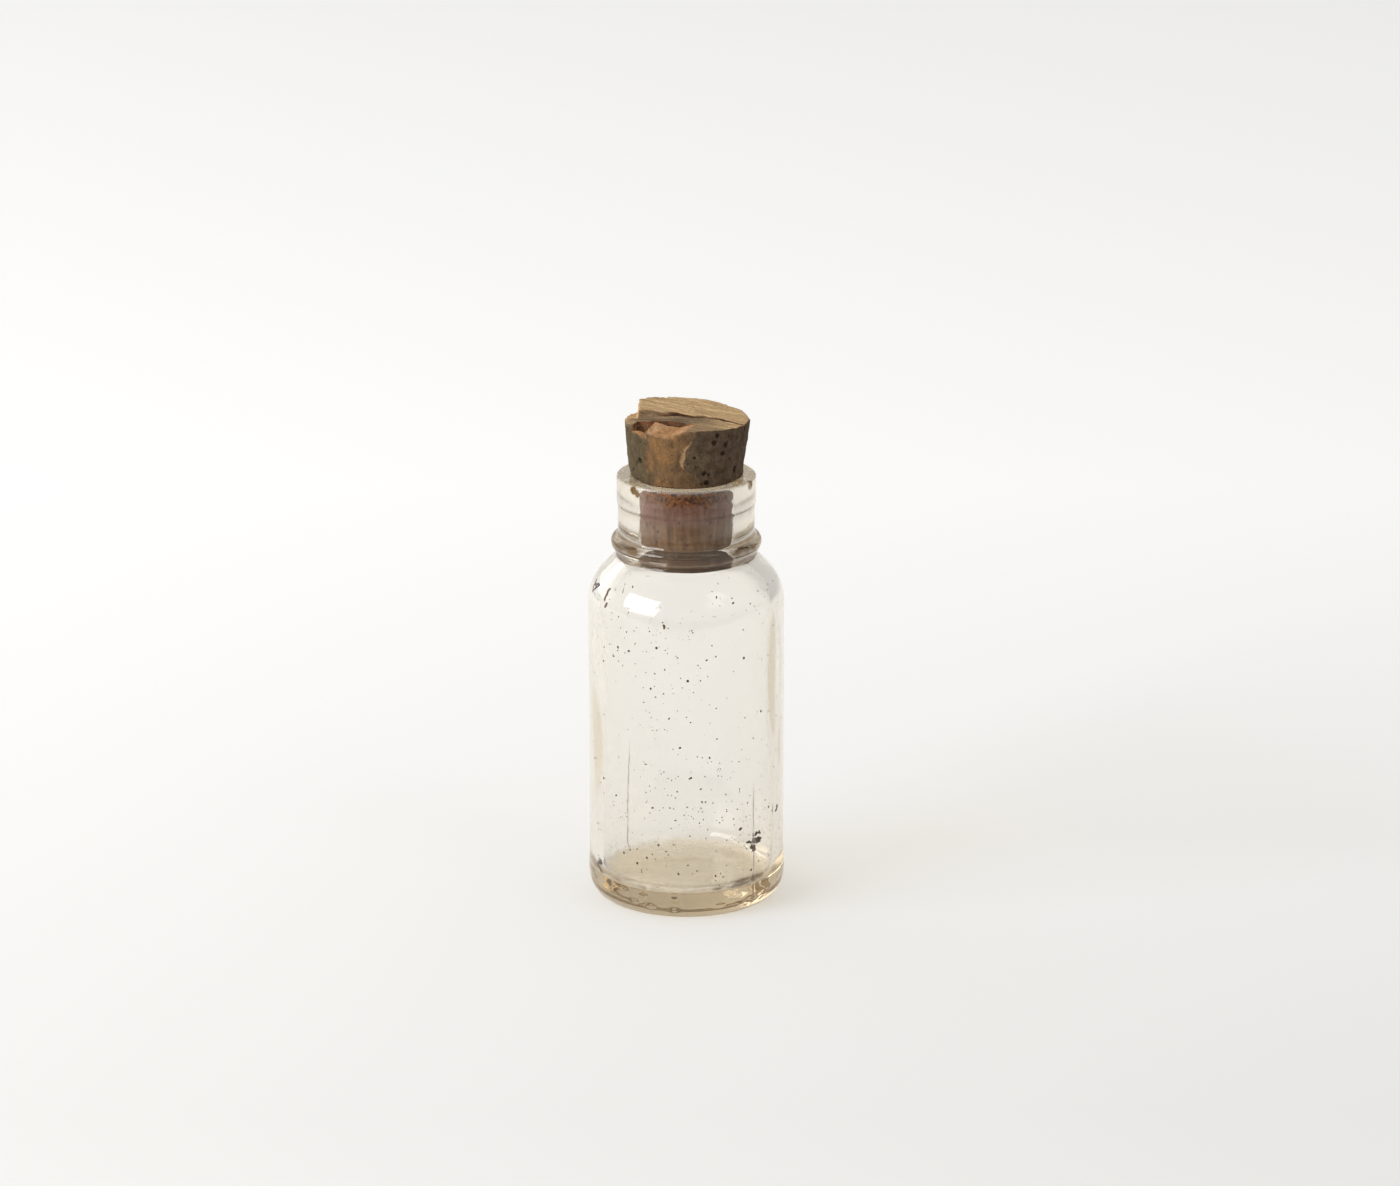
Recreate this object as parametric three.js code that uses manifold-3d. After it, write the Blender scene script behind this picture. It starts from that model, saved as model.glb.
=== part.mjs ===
// A small clear glass bottle with a tapered cork pressed into its neck.
// Millimetres, +Z up. The origin is the centre of the foot, on the surface the bottle stands on,
// and the front of the bottle faces -Y.
//
// The glass is one blown piece with a flat foot ring, a thick floor, a straight wall, a round
// shoulder, a bead below the collar and a stepped lip. The cork is old and weathered: its top has
// split along two growth layers and lost a chip at the front left. Dried residue covers the floor
// inside, and a few loose crumbs of cork and dirt cling to the inner wall.

import * as THREE from "three";
import { mergeVertices } from "three/addons/utils/BufferGeometryUtils.js";
import Module from "manifold-3d";

// Body of the bottle
const BODY_RADIUS = 16.5; // outside of the straight wall
const BODY_WALL = 2.2; // glass thickness of the straight wall
const BODY_TOP = 51.5; // height where the straight wall turns into the shoulder
const SHOULDER_WIDTH = 6.0; // outer round of the shoulder, across
const SHOULDER_HEIGHT = 7.5; // and up
const SHOULDER_WALL = 1.8; // glass thickness where the shoulder meets the neck
const HEEL_HEIGHT = 4.0; // height of the round that joins wall and foot
const HEEL_SETBACK = 3.0; // how far the foot lies inside the wall
const FOOT_WIDTH = 3.0; // flat ring that the bottle stands on
const PUSH_UP = 0.6; // hollow under the bottle, inside the foot ring
const FLOOR_THICKNESS = 4.0; // glass under the inner floor
const FLOOR_CORNER = 2.6; // inner round between floor and wall

// Neck of the bottle
const BORE_RADIUS = 8.05; // the hole that the cork fills
const NECK_WALL = 3.4; // glass thickness of the collar
const GROOVE_STEP = 0.3; // how far the groove under the bead stands out from the collar
const GROOVE_HEIGHT = 1.95; // short stretch between shoulder and bead
const BEAD_STEP = 1.15; // how far the bead stands out from the collar
const BEAD_RISE = 1.4; // from the groove up to the widest line of the bead
const BEAD_FALL = 1.1; // from there up to the collar
const COLLAR_HEIGHT = 5.3; // plain stretch between bead and lip
const LEDGE_HEIGHT = 0.4; // sloping step from collar to lip
const LIP_STEP = 0.2; // how far the lip stands out from the collar
const LIP_HEIGHT = 4.6;
const RIM_ROUND = 0.3; // outer round on top of the lip
const MOUTH_FLARE = 1.55; // how far the bore opens at the rim
const MOUTH_DEPTH = 1.4;

// Cork
const CORK_DEPTH = 15.35; // length inside the neck
const CORK_ABOVE = 10.3; // length above the rim, on the axis
const CORK_TAPER = 0.13; // radius gained for each millimetre of height
const FIT_CLEARANCE = 0.3; // between cork and glass, all the way round
const TOP_SLOPE = 4.7; // degrees that the top face falls towards the right
const TOP_NOD = 0.3; // degrees that it falls towards the back
const TOP_ALLOWANCE = 0.8; // extra height of the blank that the sloping top is cut from
const LAYER_ANGLE = -20; // degrees from +X that the growth layers run
const BACK_SPLIT = 0.9; // distance of each split from the cork's axis, towards the back
const FRONT_SPLIT = -4.7;
const SPLIT_WIDTH = 0.35;
const SPLIT_DEPTH = 1.6;
const BACK_SPLIT_START = 4.5; // distance from the left edge of the top to where each split starts
const FRONT_SPLIT_END = 14.0; // and to where it ends
const WORN_DEPTH = 1.8; // how far the left edge has worn down in front of the back split
const WORN_LENGTH = 9.5; // how far in from the left edge that wear reaches
const BROKEN_DEPTH = 2.0; // step where the back layer has broken off at the left
const BROKEN_LENGTH = 1.2;
const CHIP_DEPTH = 2.5; // missing wedge at the front left, in front of the front split
const CHIP_LENGTH = 10.6;
const CHIP_INSET = 3.9; // from the left edge of the top to the wedge's deep end
const PIT_DEPTH = 3.6; // hole at the wedge's deep end
const PIT_LENGTH = 2.6;
const PIT_WIDTH = 2.0;

// Residue and crumbs
const SEAT_GAP = 0.3; // between the glass and what lies on it
const RESIDUE_THICKNESS = 0.25;
const RESIDUE_CLIMB = 75; // degrees that the residue climbs round the floor corner
const CRUMB_THICKNESS = 0.5;
const CRUMB_ROUGHNESS = 0.16; // share of a crumb's size that its dents may take

// Facets
const TURN_SEGMENTS = 64; // round the bottle and the cork
const ARC_STEPS = 7; // along a large round of the profile
const SMALL_ARC_STEPS = 4; // along a small one
const SCATTER = { x: 12.9, y: 78.2, z: 37.7, seed: 4.1, spread: 43758.5453 }; // for uneven shapes

// Sizes that follow from the ones above
const radians = THREE.MathUtils.degToRad;
const collarRadius = BORE_RADIUS + NECK_WALL;
const grooveRadius = collarRadius + GROOVE_STEP;
const lipRadius = collarRadius + LIP_STEP;
const mouthRadius = BORE_RADIUS + MOUTH_FLARE;
const innerRadius = BODY_RADIUS - BODY_WALL;
const footRadius = BODY_RADIUS - HEEL_SETBACK;
const shoulderCentre = BODY_RADIUS - SHOULDER_WIDTH;
const innerShoulderWidth = innerRadius - BORE_RADIUS;
const innerShoulderHeight = SHOULDER_HEIGHT - SHOULDER_WALL;
const shoulderReach = Math.min(1, Math.max(0, (grooveRadius - shoulderCentre) / SHOULDER_WIDTH));
const shoulderEnd = BODY_TOP + SHOULDER_HEIGHT * Math.sin(Math.acos(shoulderReach));
const beadBase = shoulderEnd + GROOVE_HEIGHT;
const beadWidest = beadBase + BEAD_RISE;
const beadTop = beadWidest + BEAD_FALL;
const collarTop = beadTop + COLLAR_HEIGHT;
const lipBase = collarTop + LEDGE_HEIGHT;
const rimTop = lipBase + LIP_HEIGHT;
const corkWaist = mouthRadius - FIT_CLEARANCE;
const corkShaft = BORE_RADIUS - FIT_CLEARANCE;
const corkTip = rimTop - CORK_DEPTH;
const corkTop = rimTop + CORK_ABOVE;
const corkTopRadius = corkWaist + CORK_TAPER * CORK_ABOVE;
const topFall = Math.tan(radians(TOP_SLOPE)) + Math.tan(radians(TOP_NOD));
const topRise = corkTopRadius * topFall + TOP_ALLOWANCE;

const wasm = await Module();
wasm.setup();

const point = (radius, height) => new THREE.Vector2(radius, height);

/** Points of an elliptical arc in the profile plane; angles in radians from the outward direction. */
function arc(centreRadius, centreHeight, across, upward, from, to, steps = ARC_STEPS) {
  return Array.from({ length: steps + 1 }, (_, i) => {
    const angle = from + ((to - from) * i) / steps;
    return point(centreRadius + across * Math.cos(angle), centreHeight + upward * Math.sin(angle));
  });
}

/** Turns a profile of (radius, height) points round the Z axis. */
function turned(profile) {
  return new THREE.LatheGeometry(profile, TURN_SEGMENTS).rotateX(Math.PI / 2);
}

/** The closed solid of a geometry, with its shared vertices merged. */
function solidOf(geometry) {
  const bare = new THREE.BufferGeometry();
  bare.setAttribute("position", geometry.getAttribute("position"));
  bare.setIndex(geometry.index);
  const merged = mergeVertices(bare, 1e-4);
  const corners = merged.index.array;
  const kept = [];
  for (let i = 0; i < corners.length; i += 3) {
    const [a, b, c] = [corners[i], corners[i + 1], corners[i + 2]];
    if (a !== b && b !== c && c !== a) kept.push(a, b, c);
  }
  return new wasm.Manifold(
    new wasm.Mesh({
      numProp: 3,
      vertProperties: new Float32Array(merged.attributes.position.array),
      triVerts: new Uint32Array(kept),
    }),
  );
}

/** The flat-shaded geometry of a solid. */
function geometryOf(solid) {
  const { vertProperties, triVerts, numProp } = solid.getMesh();
  const positions = new Float32Array((vertProperties.length / numProp) * 3);
  for (let i = 0; i < positions.length / 3; i++)
    positions.set(vertProperties.subarray(i * numProp, i * numProp + 3), i * 3);
  const geometry = new THREE.BufferGeometry();
  geometry.setAttribute("position", new THREE.BufferAttribute(positions, 3));
  geometry.setIndex(new THREE.BufferAttribute(triVerts, 1));
  geometry.computeVertexNormals();
  return geometry;
}

function part(name, geometry, material) {
  const mesh = new THREE.Mesh(geometry, material);
  mesh.name = name;
  return mesh;
}

/** Outer and inner surface of the glass as one closed profile, from the foot up and back down inside. */
function bottleProfile() {
  const quarter = Math.PI / 2;
  const wallFoot = FLOOR_THICKNESS + FLOOR_CORNER;
  return [
    ...arc(0, 0, footRadius - FOOT_WIDTH, PUSH_UP, quarter, 0, SMALL_ARC_STEPS),
    ...arc(footRadius, HEEL_HEIGHT, HEEL_SETBACK, HEEL_HEIGHT, -quarter, 0),
    ...arc(shoulderCentre, BODY_TOP, SHOULDER_WIDTH, SHOULDER_HEIGHT, 0, Math.acos(shoulderReach)),
    ...arc(grooveRadius, beadWidest, BEAD_STEP - GROOVE_STEP, BEAD_RISE, -quarter, 0, SMALL_ARC_STEPS),
    ...arc(collarRadius, beadWidest, BEAD_STEP, BEAD_FALL, 0, quarter, SMALL_ARC_STEPS).slice(1),
    point(collarRadius, collarTop),
    point(lipRadius, lipBase),
    ...arc(lipRadius - RIM_ROUND, rimTop - RIM_ROUND, RIM_ROUND, RIM_ROUND, 0, quarter, SMALL_ARC_STEPS),
    ...arc(mouthRadius, rimTop - MOUTH_DEPTH, -MOUTH_FLARE, MOUTH_DEPTH, quarter, 0, SMALL_ARC_STEPS),
    ...arc(BORE_RADIUS, BODY_TOP, innerShoulderWidth, innerShoulderHeight, quarter, 0),
    ...arc(innerRadius - FLOOR_CORNER, wallFoot, FLOOR_CORNER, FLOOR_CORNER, 0, -quarter),
    point(0, FLOOR_THICKNESS),
  ];
}

/** Radius of the inner surface at a height, and its inward normal there as (radial, upward). */
function innerSurface(height) {
  const cornerTop = FLOOR_THICKNESS + FLOOR_CORNER;
  let round = point(FLOOR_CORNER, FLOOR_CORNER);
  let centreHeight = cornerTop;
  if (height > BODY_TOP) {
    round = point(innerShoulderWidth, innerShoulderHeight);
    centreHeight = BODY_TOP;
  } else if (height > cornerTop) {
    return { radius: innerRadius, normal: point(-1, 0) };
  }
  const angle = Math.asin(Math.min(1, Math.max(-1, (height - centreHeight) / round.y)));
  const normal = point(-Math.cos(angle) / round.x, -Math.sin(angle) / round.y).normalize();
  return { radius: innerRadius - round.x * (1 - Math.cos(angle)), normal };
}

function glassBottle() {
  const glass = new THREE.MeshStandardMaterial({
    color: 0xe9e4d6,
    roughness: 0.05,
    metalness: 0,
    transparent: true,
    opacity: 0.4,
  });
  return part("glass_bottle", turned(bottleProfile()), glass);
}

/** The whole cork before weathering: a tapered plug, squeezed where the mouth and bore hold it. */
function soundCork() {
  const mouthFoot = rimTop - MOUTH_DEPTH;
  const pinch = [MOUTH_FLARE + FIT_CLEARANCE, MOUTH_DEPTH + FIT_CLEARANCE];
  const pinchEnd = Math.acos(FIT_CLEARANCE / pinch[0]);
  const tipRadius = Math.min(corkShaft, corkWaist - CORK_TAPER * CORK_DEPTH);
  const gripFoot = rimTop - (corkWaist - corkShaft) / CORK_TAPER;
  const gripped = gripFoot > corkTip && gripFoot < mouthFoot;
  return turned([
    point(0, corkTip),
    point(tipRadius, corkTip),
    ...(gripped ? [point(corkShaft, gripFoot)] : []),
    ...arc(mouthRadius, mouthFoot, -pinch[0], pinch[1], 0, pinchEnd, SMALL_ARC_STEPS),
    point(corkTopRadius + CORK_TAPER * topRise, corkTop + topRise),
    point(0, corkTop + topRise),
  ]);
}

/**
 * A cut in the cork's top, in the frame of the growth layers. The outline is a list of
 * [along the layers, above the top face]; the cut reaches across them from one offset to another.
 */
function topCut(outline, acrossFrom, acrossTo) {
  const shape = new THREE.Shape(outline.map(([along, above]) => new THREE.Vector2(along, above)));
  const cut = new THREE.ExtrudeGeometry(shape, { depth: acrossTo - acrossFrom, bevelEnabled: false });
  cut.rotateX(Math.PI / 2).translate(0, acrossTo, 0).rotateZ(radians(LAYER_ANGLE));
  cut.rotateX(-radians(TOP_NOD)).rotateY(radians(TOP_SLOPE)).translate(0, 0, corkTop);
  return solidOf(cut);
}

/** The cork with its sloping top, two splits, worn and broken left edge, front chip and pit. */
function corkStopper() {
  const leftEdge = -corkTopRadius;
  const beyond = corkTopRadius * 2;
  const slot = (from, to, depth) => [
    [from, -depth],
    [to, -depth],
    [to, beyond],
    [from, beyond],
  ];
  const wedge = (from, to, depth, start = from) => [
    [start, beyond],
    [start, -depth],
    [from, -depth],
    [to, 0],
    [to, beyond],
  ];
  const halfSplit = SPLIT_WIDTH / 2;
  const chipStart = leftEdge + CHIP_INSET;
  const cuts = [
    topCut(slot(-beyond, beyond, 0), -beyond, beyond),
    topCut(
      slot(leftEdge + BACK_SPLIT_START, beyond, SPLIT_DEPTH),
      BACK_SPLIT - halfSplit,
      BACK_SPLIT + halfSplit,
    ),
    topCut(
      slot(-beyond, leftEdge + FRONT_SPLIT_END, SPLIT_DEPTH),
      FRONT_SPLIT - halfSplit,
      FRONT_SPLIT + halfSplit,
    ),
    topCut(wedge(leftEdge, leftEdge + WORN_LENGTH, WORN_DEPTH, -beyond), -beyond, BACK_SPLIT),
    topCut(slot(-beyond, leftEdge + BROKEN_LENGTH, BROKEN_DEPTH), BACK_SPLIT, beyond),
    topCut(wedge(chipStart, chipStart + CHIP_LENGTH, CHIP_DEPTH), -beyond, FRONT_SPLIT),
    topCut(slot(chipStart, chipStart + PIT_LENGTH, PIT_DEPTH), FRONT_SPLIT - PIT_WIDTH, FRONT_SPLIT),
  ];
  const weathered = cuts.reduce((left, cut) => left.subtract(cut), solidOf(soundCork()));

  const cork = new THREE.MeshStandardMaterial({ color: 0x7a6043, roughness: 0.9, metalness: 0 });
  return part("cork_stopper", geometryOf(weathered), cork);
}

/** A thin dish of dried deposit over the inner floor, climbing a little way round its corner. */
function driedResidue() {
  const centreRadius = innerRadius - FLOOR_CORNER;
  const centreHeight = FLOOR_THICKNESS + FLOOR_CORNER;
  const climb = radians(RESIDUE_CLIMB - 90);
  const underside = FLOOR_CORNER - SEAT_GAP;
  const topside = underside - RESIDUE_THICKNESS;
  const straightDown = -Math.PI / 2;
  const profile = [
    point(0, FLOOR_THICKNESS + SEAT_GAP),
    ...arc(centreRadius, centreHeight, underside, underside, straightDown, climb, SMALL_ARC_STEPS),
    ...arc(centreRadius, centreHeight, topside, topside, climb, straightDown, SMALL_ARC_STEPS),
    point(0, FLOOR_THICKNESS + SEAT_GAP + RESIDUE_THICKNESS),
  ];
  const deposit = new THREE.MeshStandardMaterial({ color: 0x8a6a3c, roughness: 0.85, metalness: 0 });
  return part("dried_residue", turned(profile), deposit);
}

/** A number between -1 and 1 that looks random but depends only on the place and the seed. */
function uneven(x, y, z, seed) {
  const mixed = x * SCATTER.x + y * SCATTER.y + z * SCATTER.z + seed * SCATTER.seed;
  const raw = Math.sin(mixed) * SCATTER.spread;
  return (raw - Math.floor(raw)) * 2 - 1;
}

/** An irregular crumb with its thickness along X, its width along Y and its length along Z. */
function crumbGeometry(length, width, seed) {
  const crumb = new THREE.IcosahedronGeometry(0.5, 1);
  const vertices = crumb.getAttribute("position");
  for (let i = 0; i < vertices.count; i++) {
    const [x, y, z] = [vertices.getX(i), vertices.getY(i), vertices.getZ(i)];
    const key = [x, y, z].map((value) => Math.round(value * 1000) / 1000);
    const swell = 1 - CRUMB_ROUGHNESS + CRUMB_ROUGHNESS * uneven(...key, seed);
    vertices.setXYZ(i, x * swell * CRUMB_THICKNESS, y * swell * width, z * swell * length);
  }
  return crumb;
}

// Where each crumb clings to the inner wall. The bearing is in degrees from the front, positive
// towards the right; the height is measured from the inner floor, or from the top of the wall for
// the two that lie on the shoulder. The lean turns the crumb on the glass.
const crumbs = [
  { name: "crumb_left_shoulder", bearing: -83, aboveWall: 2.3, length: 1.6, width: 1.8, lean: 15 },
  { name: "crumb_left_shoulder_sliver", bearing: -64, aboveWall: 2.5, length: 1.6, width: 0.5, lean: 4 },
  { name: "crumb_upper_front", bearing: -14, aboveFloor: 47.3, length: 0.9, width: 0.7, lean: 0 },
  { name: "crumb_right_wall", bearing: 74, aboveFloor: 12.2, length: 1.0, width: 0.7, lean: 12 },
  { name: "crumb_right_front", bearing: 37, aboveFloor: 11.1, length: 0.8, width: 0.8, lean: 0 },
  { name: "crumb_right_heel_upper", bearing: 52, aboveFloor: 8.2, length: 1.1, width: 1.0, lean: 35 },
  { name: "crumb_right_heel_lower", bearing: 47, aboveFloor: 6.9, length: 1.0, width: 0.8, lean: -20 },
  { name: "crumb_left_heel", bearing: -70, aboveFloor: 2.9, length: 1.9, width: 0.9, lean: -10 },
];

function looseCrumbs() {
  const dirt = new THREE.MeshStandardMaterial({ color: 0x3a2a1c, roughness: 0.95, metalness: 0 });
  return crumbs.map(({ name, bearing, aboveFloor, aboveWall, length, width, lean }, seed) => {
    const height = aboveWall === undefined ? FLOOR_THICKNESS + aboveFloor : BODY_TOP + aboveWall;
    const { radius, normal } = innerSurface(height);
    const lift = SEAT_GAP + CRUMB_THICKNESS / 2;
    const crumb = part(name, crumbGeometry(length, width, seed + 1), dirt);
    crumb.position.set(radius + normal.x * lift, 0, height + normal.y * lift);
    crumb.rotation.set(radians(lean), Math.atan2(normal.y, -normal.x), 0, "YXZ");
    const around = new THREE.Group();
    around.rotation.z = radians(bearing - 90);
    around.add(crumb);
    return around;
  });
}

const bottleWithCork = new THREE.Group();
bottleWithCork.add(glassBottle(), corkStopper(), driedResidue(), ...looseCrumbs());

export default bottleWithCork;
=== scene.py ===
"""Looks for a small corked glass bottle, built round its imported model.

The bottle is one piece of blown glass with a thick floor, a round shoulder, a bead below the collar
and a stepped lip. A weathered natural cork is pressed into its neck. Dried film covers the floor
inside, and crumbs and specks of dirt cling to the inner wall.

Sizes are in millimetres unless a name says otherwise. Bearings are in degrees from the front of the
bottle, which faces -Y, and grow towards the right.
"""

from __future__ import annotations

import logging
import math
from dataclasses import dataclass
from enum import Enum
from typing import Any, Callable, Sequence

import bmesh
import bpy
import numpy as np
import openvdb
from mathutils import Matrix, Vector

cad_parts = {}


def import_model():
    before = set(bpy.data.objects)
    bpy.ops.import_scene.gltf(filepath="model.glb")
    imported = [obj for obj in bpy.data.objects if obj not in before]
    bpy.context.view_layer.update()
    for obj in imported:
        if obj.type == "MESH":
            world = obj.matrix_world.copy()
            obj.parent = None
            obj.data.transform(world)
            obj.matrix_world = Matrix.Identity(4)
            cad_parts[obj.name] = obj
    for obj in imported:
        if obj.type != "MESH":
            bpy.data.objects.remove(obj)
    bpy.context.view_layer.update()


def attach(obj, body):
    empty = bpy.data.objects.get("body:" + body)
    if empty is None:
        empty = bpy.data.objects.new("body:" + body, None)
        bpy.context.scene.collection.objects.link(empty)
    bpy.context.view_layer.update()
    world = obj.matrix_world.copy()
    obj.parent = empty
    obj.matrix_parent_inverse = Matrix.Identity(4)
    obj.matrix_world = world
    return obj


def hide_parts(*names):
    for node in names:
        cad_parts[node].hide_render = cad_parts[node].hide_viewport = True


LOG = logging.getLogger("corked_bottle")
MM = 0.001
BOTTLE_BODY = "bottle"
STOPPER_BODY = "stopper"

# Sockets of a colour Mix node, whose names repeat for its other data types
MIX_SHARE, MIX_FIRST, MIX_SECOND, MIX_RESULT = 0, 6, 7, 2

# Number sockets of a Random Value node, whose names repeat for its other data types
RANDOM_LOW, RANDOM_HIGH = 2, 3

# The cork's growth layers run this far round from the X axis
LAYER_DEGREES = -20.0

Profile = list[tuple[float, float]]
Stroke = tuple[tuple[float, float], ...]

# Two values, where something fades from none to full
Span = tuple[float, float]


def linear(hex_colour: str) -> tuple[float, float, float, float]:
    """Turn an sRGB hex colour into the linear colour that a shader reads.

    Args:
        hex_colour: Six hex digits after a hash sign.

    Returns:
        Red, green, blue and an alpha of 1.
    """
    channels = [int(hex_colour[i : i + 2], 16) / 255 for i in (1, 3, 5)]
    red, green, blue = [c / 12.92 if c <= 0.04045 else ((c + 0.055) / 1.055) ** 2.4 for c in channels]
    return red, green, blue, 1.0


def add_node(
    tree: bpy.types.NodeTree,
    kind: str,
    settings: dict[str, Any] | None = None,
    inputs: dict[str | int, Any] | None = None,
) -> bpy.types.Node:
    """Add a node with its settings, its input values and its links.

    Args:
        tree: The node tree that gets the node.
        kind: The node's type name.
        settings: Attribute names and their values.
        inputs: Input names or indices, each with a value or with a socket to link from.

    Returns:
        The new node.
    """
    node = tree.nodes.new(kind)
    for name, value in (settings or {}).items():
        setattr(node, name, value)
    for key, value in (inputs or {}).items():
        if isinstance(value, bpy.types.NodeSocket):
            tree.links.new(value, node.inputs[key])
        else:
            node.inputs[key].default_value = value
    return node


def new_material(name: str) -> tuple[bpy.types.Material, bpy.types.NodeTree]:
    """Make an empty node material.

    Args:
        name: The material's name.

    Returns:
        The material and its node tree.
    """
    material = bpy.data.materials.new(name)
    material.use_nodes = True
    material.node_tree.nodes.clear()
    return material, material.node_tree


def value_noise(points: np.ndarray, cell: float | Sequence[float], seed: int) -> np.ndarray:
    """Smooth random values that depend only on the place and the seed.

    Args:
        points: One row of coordinates for each point.
        cell: Size of one bump, the same along all axes or one for each.
        seed: Chooses the pattern.

    Returns:
        A value from -1 to 1 for each point.
    """
    side = 32
    lattice = np.random.default_rng(seed).uniform(-1, 1, side**3).astype(np.float32)
    scaled = points / np.asarray(cell, float)
    floor = np.floor(scaled)
    share = (scaled - floor).astype(np.float32)
    share *= share * (3 - 2 * share)
    low = floor.astype(np.int32) % side
    high = (low + 1) % side
    plane = (low[:, 0] * side**2, high[:, 0] * side**2)
    row = (low[:, 1] * side, high[:, 1] * side)

    def along_z(i: int, j: int) -> np.ndarray:
        start = plane[i] + row[j]
        first = lattice[start + low[:, 2]]
        return first + (lattice[start + high[:, 2]] - first) * share[:, 2]

    def along_y(i: int) -> np.ndarray:
        first = along_z(i, 0)
        return first + (along_z(i, 1) - first) * share[:, 1]

    start = along_y(0)
    return start + (along_y(1) - start) * share[:, 0]


def fade(low: float, high: float, value: np.ndarray) -> np.ndarray:
    """Rise smoothly from 0 at low to 1 at high; high may be below low."""
    share = np.clip((value - low) / (high - low), 0, 1)
    return share * share * (3 - 2 * share)


@dataclass(frozen=True)
class Relief:
    """Smooth random unevenness of a real height and width in millimetres."""

    height: float
    cell: float | tuple[float, float, float]
    seed: int

    def at(self, points: np.ndarray) -> np.ndarray:
        """Rise of the surface at each point, from minus the height to plus the height."""
        return self.height * value_noise(points, self.cell, self.seed)


def voxel_grid(low: np.ndarray, high: np.ndarray, voxel: float) -> tuple[np.ndarray, np.ndarray]:
    """Fill a box with evenly spaced points.

    Args:
        low: The box's lowest corner.
        high: Its highest corner.
        voxel: Distance between the points.

    Returns:
        One row of coordinates for each point, and how many there are along each axis.
    """
    counts = np.ceil((high - low) / voxel).astype(int)
    axes = [low[i] + np.arange(counts[i]) * voxel for i in range(3)]
    return np.stack(np.meshgrid(*axes, indexing="ij"), axis=3).reshape(-1, 3), counts


def skin_of(
    distances: np.ndarray, counts: np.ndarray, band: float, low: np.ndarray, voxel: float
) -> tuple[np.ndarray, np.ndarray]:
    """Find the surface where a field of distances is zero.

    Args:
        distances: Signed distance at each point of a voxel grid.
        counts: How many points there are along each axis.
        band: The distance that stands for anywhere far away.
        low: The grid's lowest corner.
        voxel: Distance between the points.

    Returns:
        Points and four-sided faces, facing out.
    """
    volume = openvdb.FloatGrid(band)
    volume.copyFromArray(distances.reshape(counts).astype(np.float32))
    points, quads = volume.convertToQuads(0.0)
    return points * voxel + low, quads


def mesh_piece(
    name: str, points: np.ndarray, faces: Sequence[Sequence[int]], material: bpy.types.Material
) -> bpy.types.Object:
    """Make a smooth-shaded mesh object at the origin from points in millimetres.

    Args:
        name: The object's name.
        points: One row of coordinates for each vertex.
        faces: Vertex indices of each face, facing out.
        material: The mesh's only material.

    Returns:
        The new object.
    """
    mesh = bpy.data.meshes.new(name)
    mesh.from_pydata((np.asarray(points, float) * MM).tolist(), [], [list(map(int, f)) for f in faces])
    mesh.materials.append(material)
    mesh.shade_smooth()
    mesh.update()
    piece = bpy.data.objects.new(name, mesh)
    bpy.context.scene.collection.objects.link(piece)
    return piece


def write_masks(piece: bpy.types.Object, masks: dict[Enum, np.ndarray]) -> None:
    """Keep a finish's masks on a mesh as attributes.

    Args:
        piece: The mesh object.
        masks: A value from 0 to 1 for each vertex, for each mask.
    """
    for kind, values in masks.items():
        attribute = piece.data.attributes.new(kind.value, "FLOAT", "POINT")
        attribute.data.foreach_set("value", np.asarray(values, np.float32))


def place(piece: bpy.types.Object, body: str, slot: str, *nodes: str) -> None:
    """Let a piece ride on a body in place of its plain nodes, and report it.

    Args:
        piece: The finished piece.
        body: The body that it moves with.
        slot: The record's material slot; not used.
        nodes: The plain nodes that it stands for.
    """
    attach(piece, body)
    if nodes:
        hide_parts(*nodes)
    LOG.info("%s: %d faces on %s", piece.name, len(piece.data.polygons), body)


def keep_largest(piece: bpy.types.Object) -> None:
    """Delete the crumbs that a cut leaves hanging beside a piece.

    Args:
        piece: The mesh object, of which only the part with the most vertices is kept.
    """
    shape = bmesh.new()
    shape.from_mesh(piece.data)
    unseen = set(shape.verts)
    groups = []
    while unseen:
        seed = unseen.pop()
        group, edge = [seed], [seed]
        while edge:
            for link in edge.pop().link_edges:
                for vertex in link.verts:
                    if vertex in unseen:
                        unseen.remove(vertex)
                        group.append(vertex)
                        edge.append(vertex)
        groups.append(group)
    groups.sort(key=len)
    for group in groups[:-1]:
        bmesh.ops.delete(shape, geom=group, context="VERTS")
    shape.to_mesh(piece.data)
    shape.free()


def paint(tree: bpy.types.NodeTree, base: Any, *coats: tuple[Any, Any]) -> bpy.types.NodeSocket:
    """Lay coats of colour over one another.

    Args:
        tree: The material's node tree.
        base: The lowest colour, as a hex value or a socket.
        coats: The share that each coat covers, and its colour.

    Returns:
        The colour that shows.
    """
    shown = base
    for share, colour in coats:
        ends = [linear(end) if isinstance(end, str) else end for end in (shown, colour)]
        node = add_node(
            tree,
            "ShaderNodeMix",
            {"data_type": "RGBA"},
            {MIX_SHARE: share, MIX_FIRST: ends[0], MIX_SECOND: ends[1]},
        )
        shown = node.outputs[MIX_RESULT]
    return shown


def read_masks(tree: bpy.types.NodeTree, kinds: type[Enum]) -> dict[Enum, bpy.types.NodeSocket]:
    """Read every mask of a finish from its mesh.

    Args:
        tree: The material's node tree.
        kinds: The masks, whose values name the attributes.

    Returns:
        A socket with a value from 0 to 1 for each mask.
    """
    return {
        kind: add_node(tree, "ShaderNodeAttribute", {"attribute_name": kind.value}).outputs["Fac"]
        for kind in kinds
    }


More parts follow.
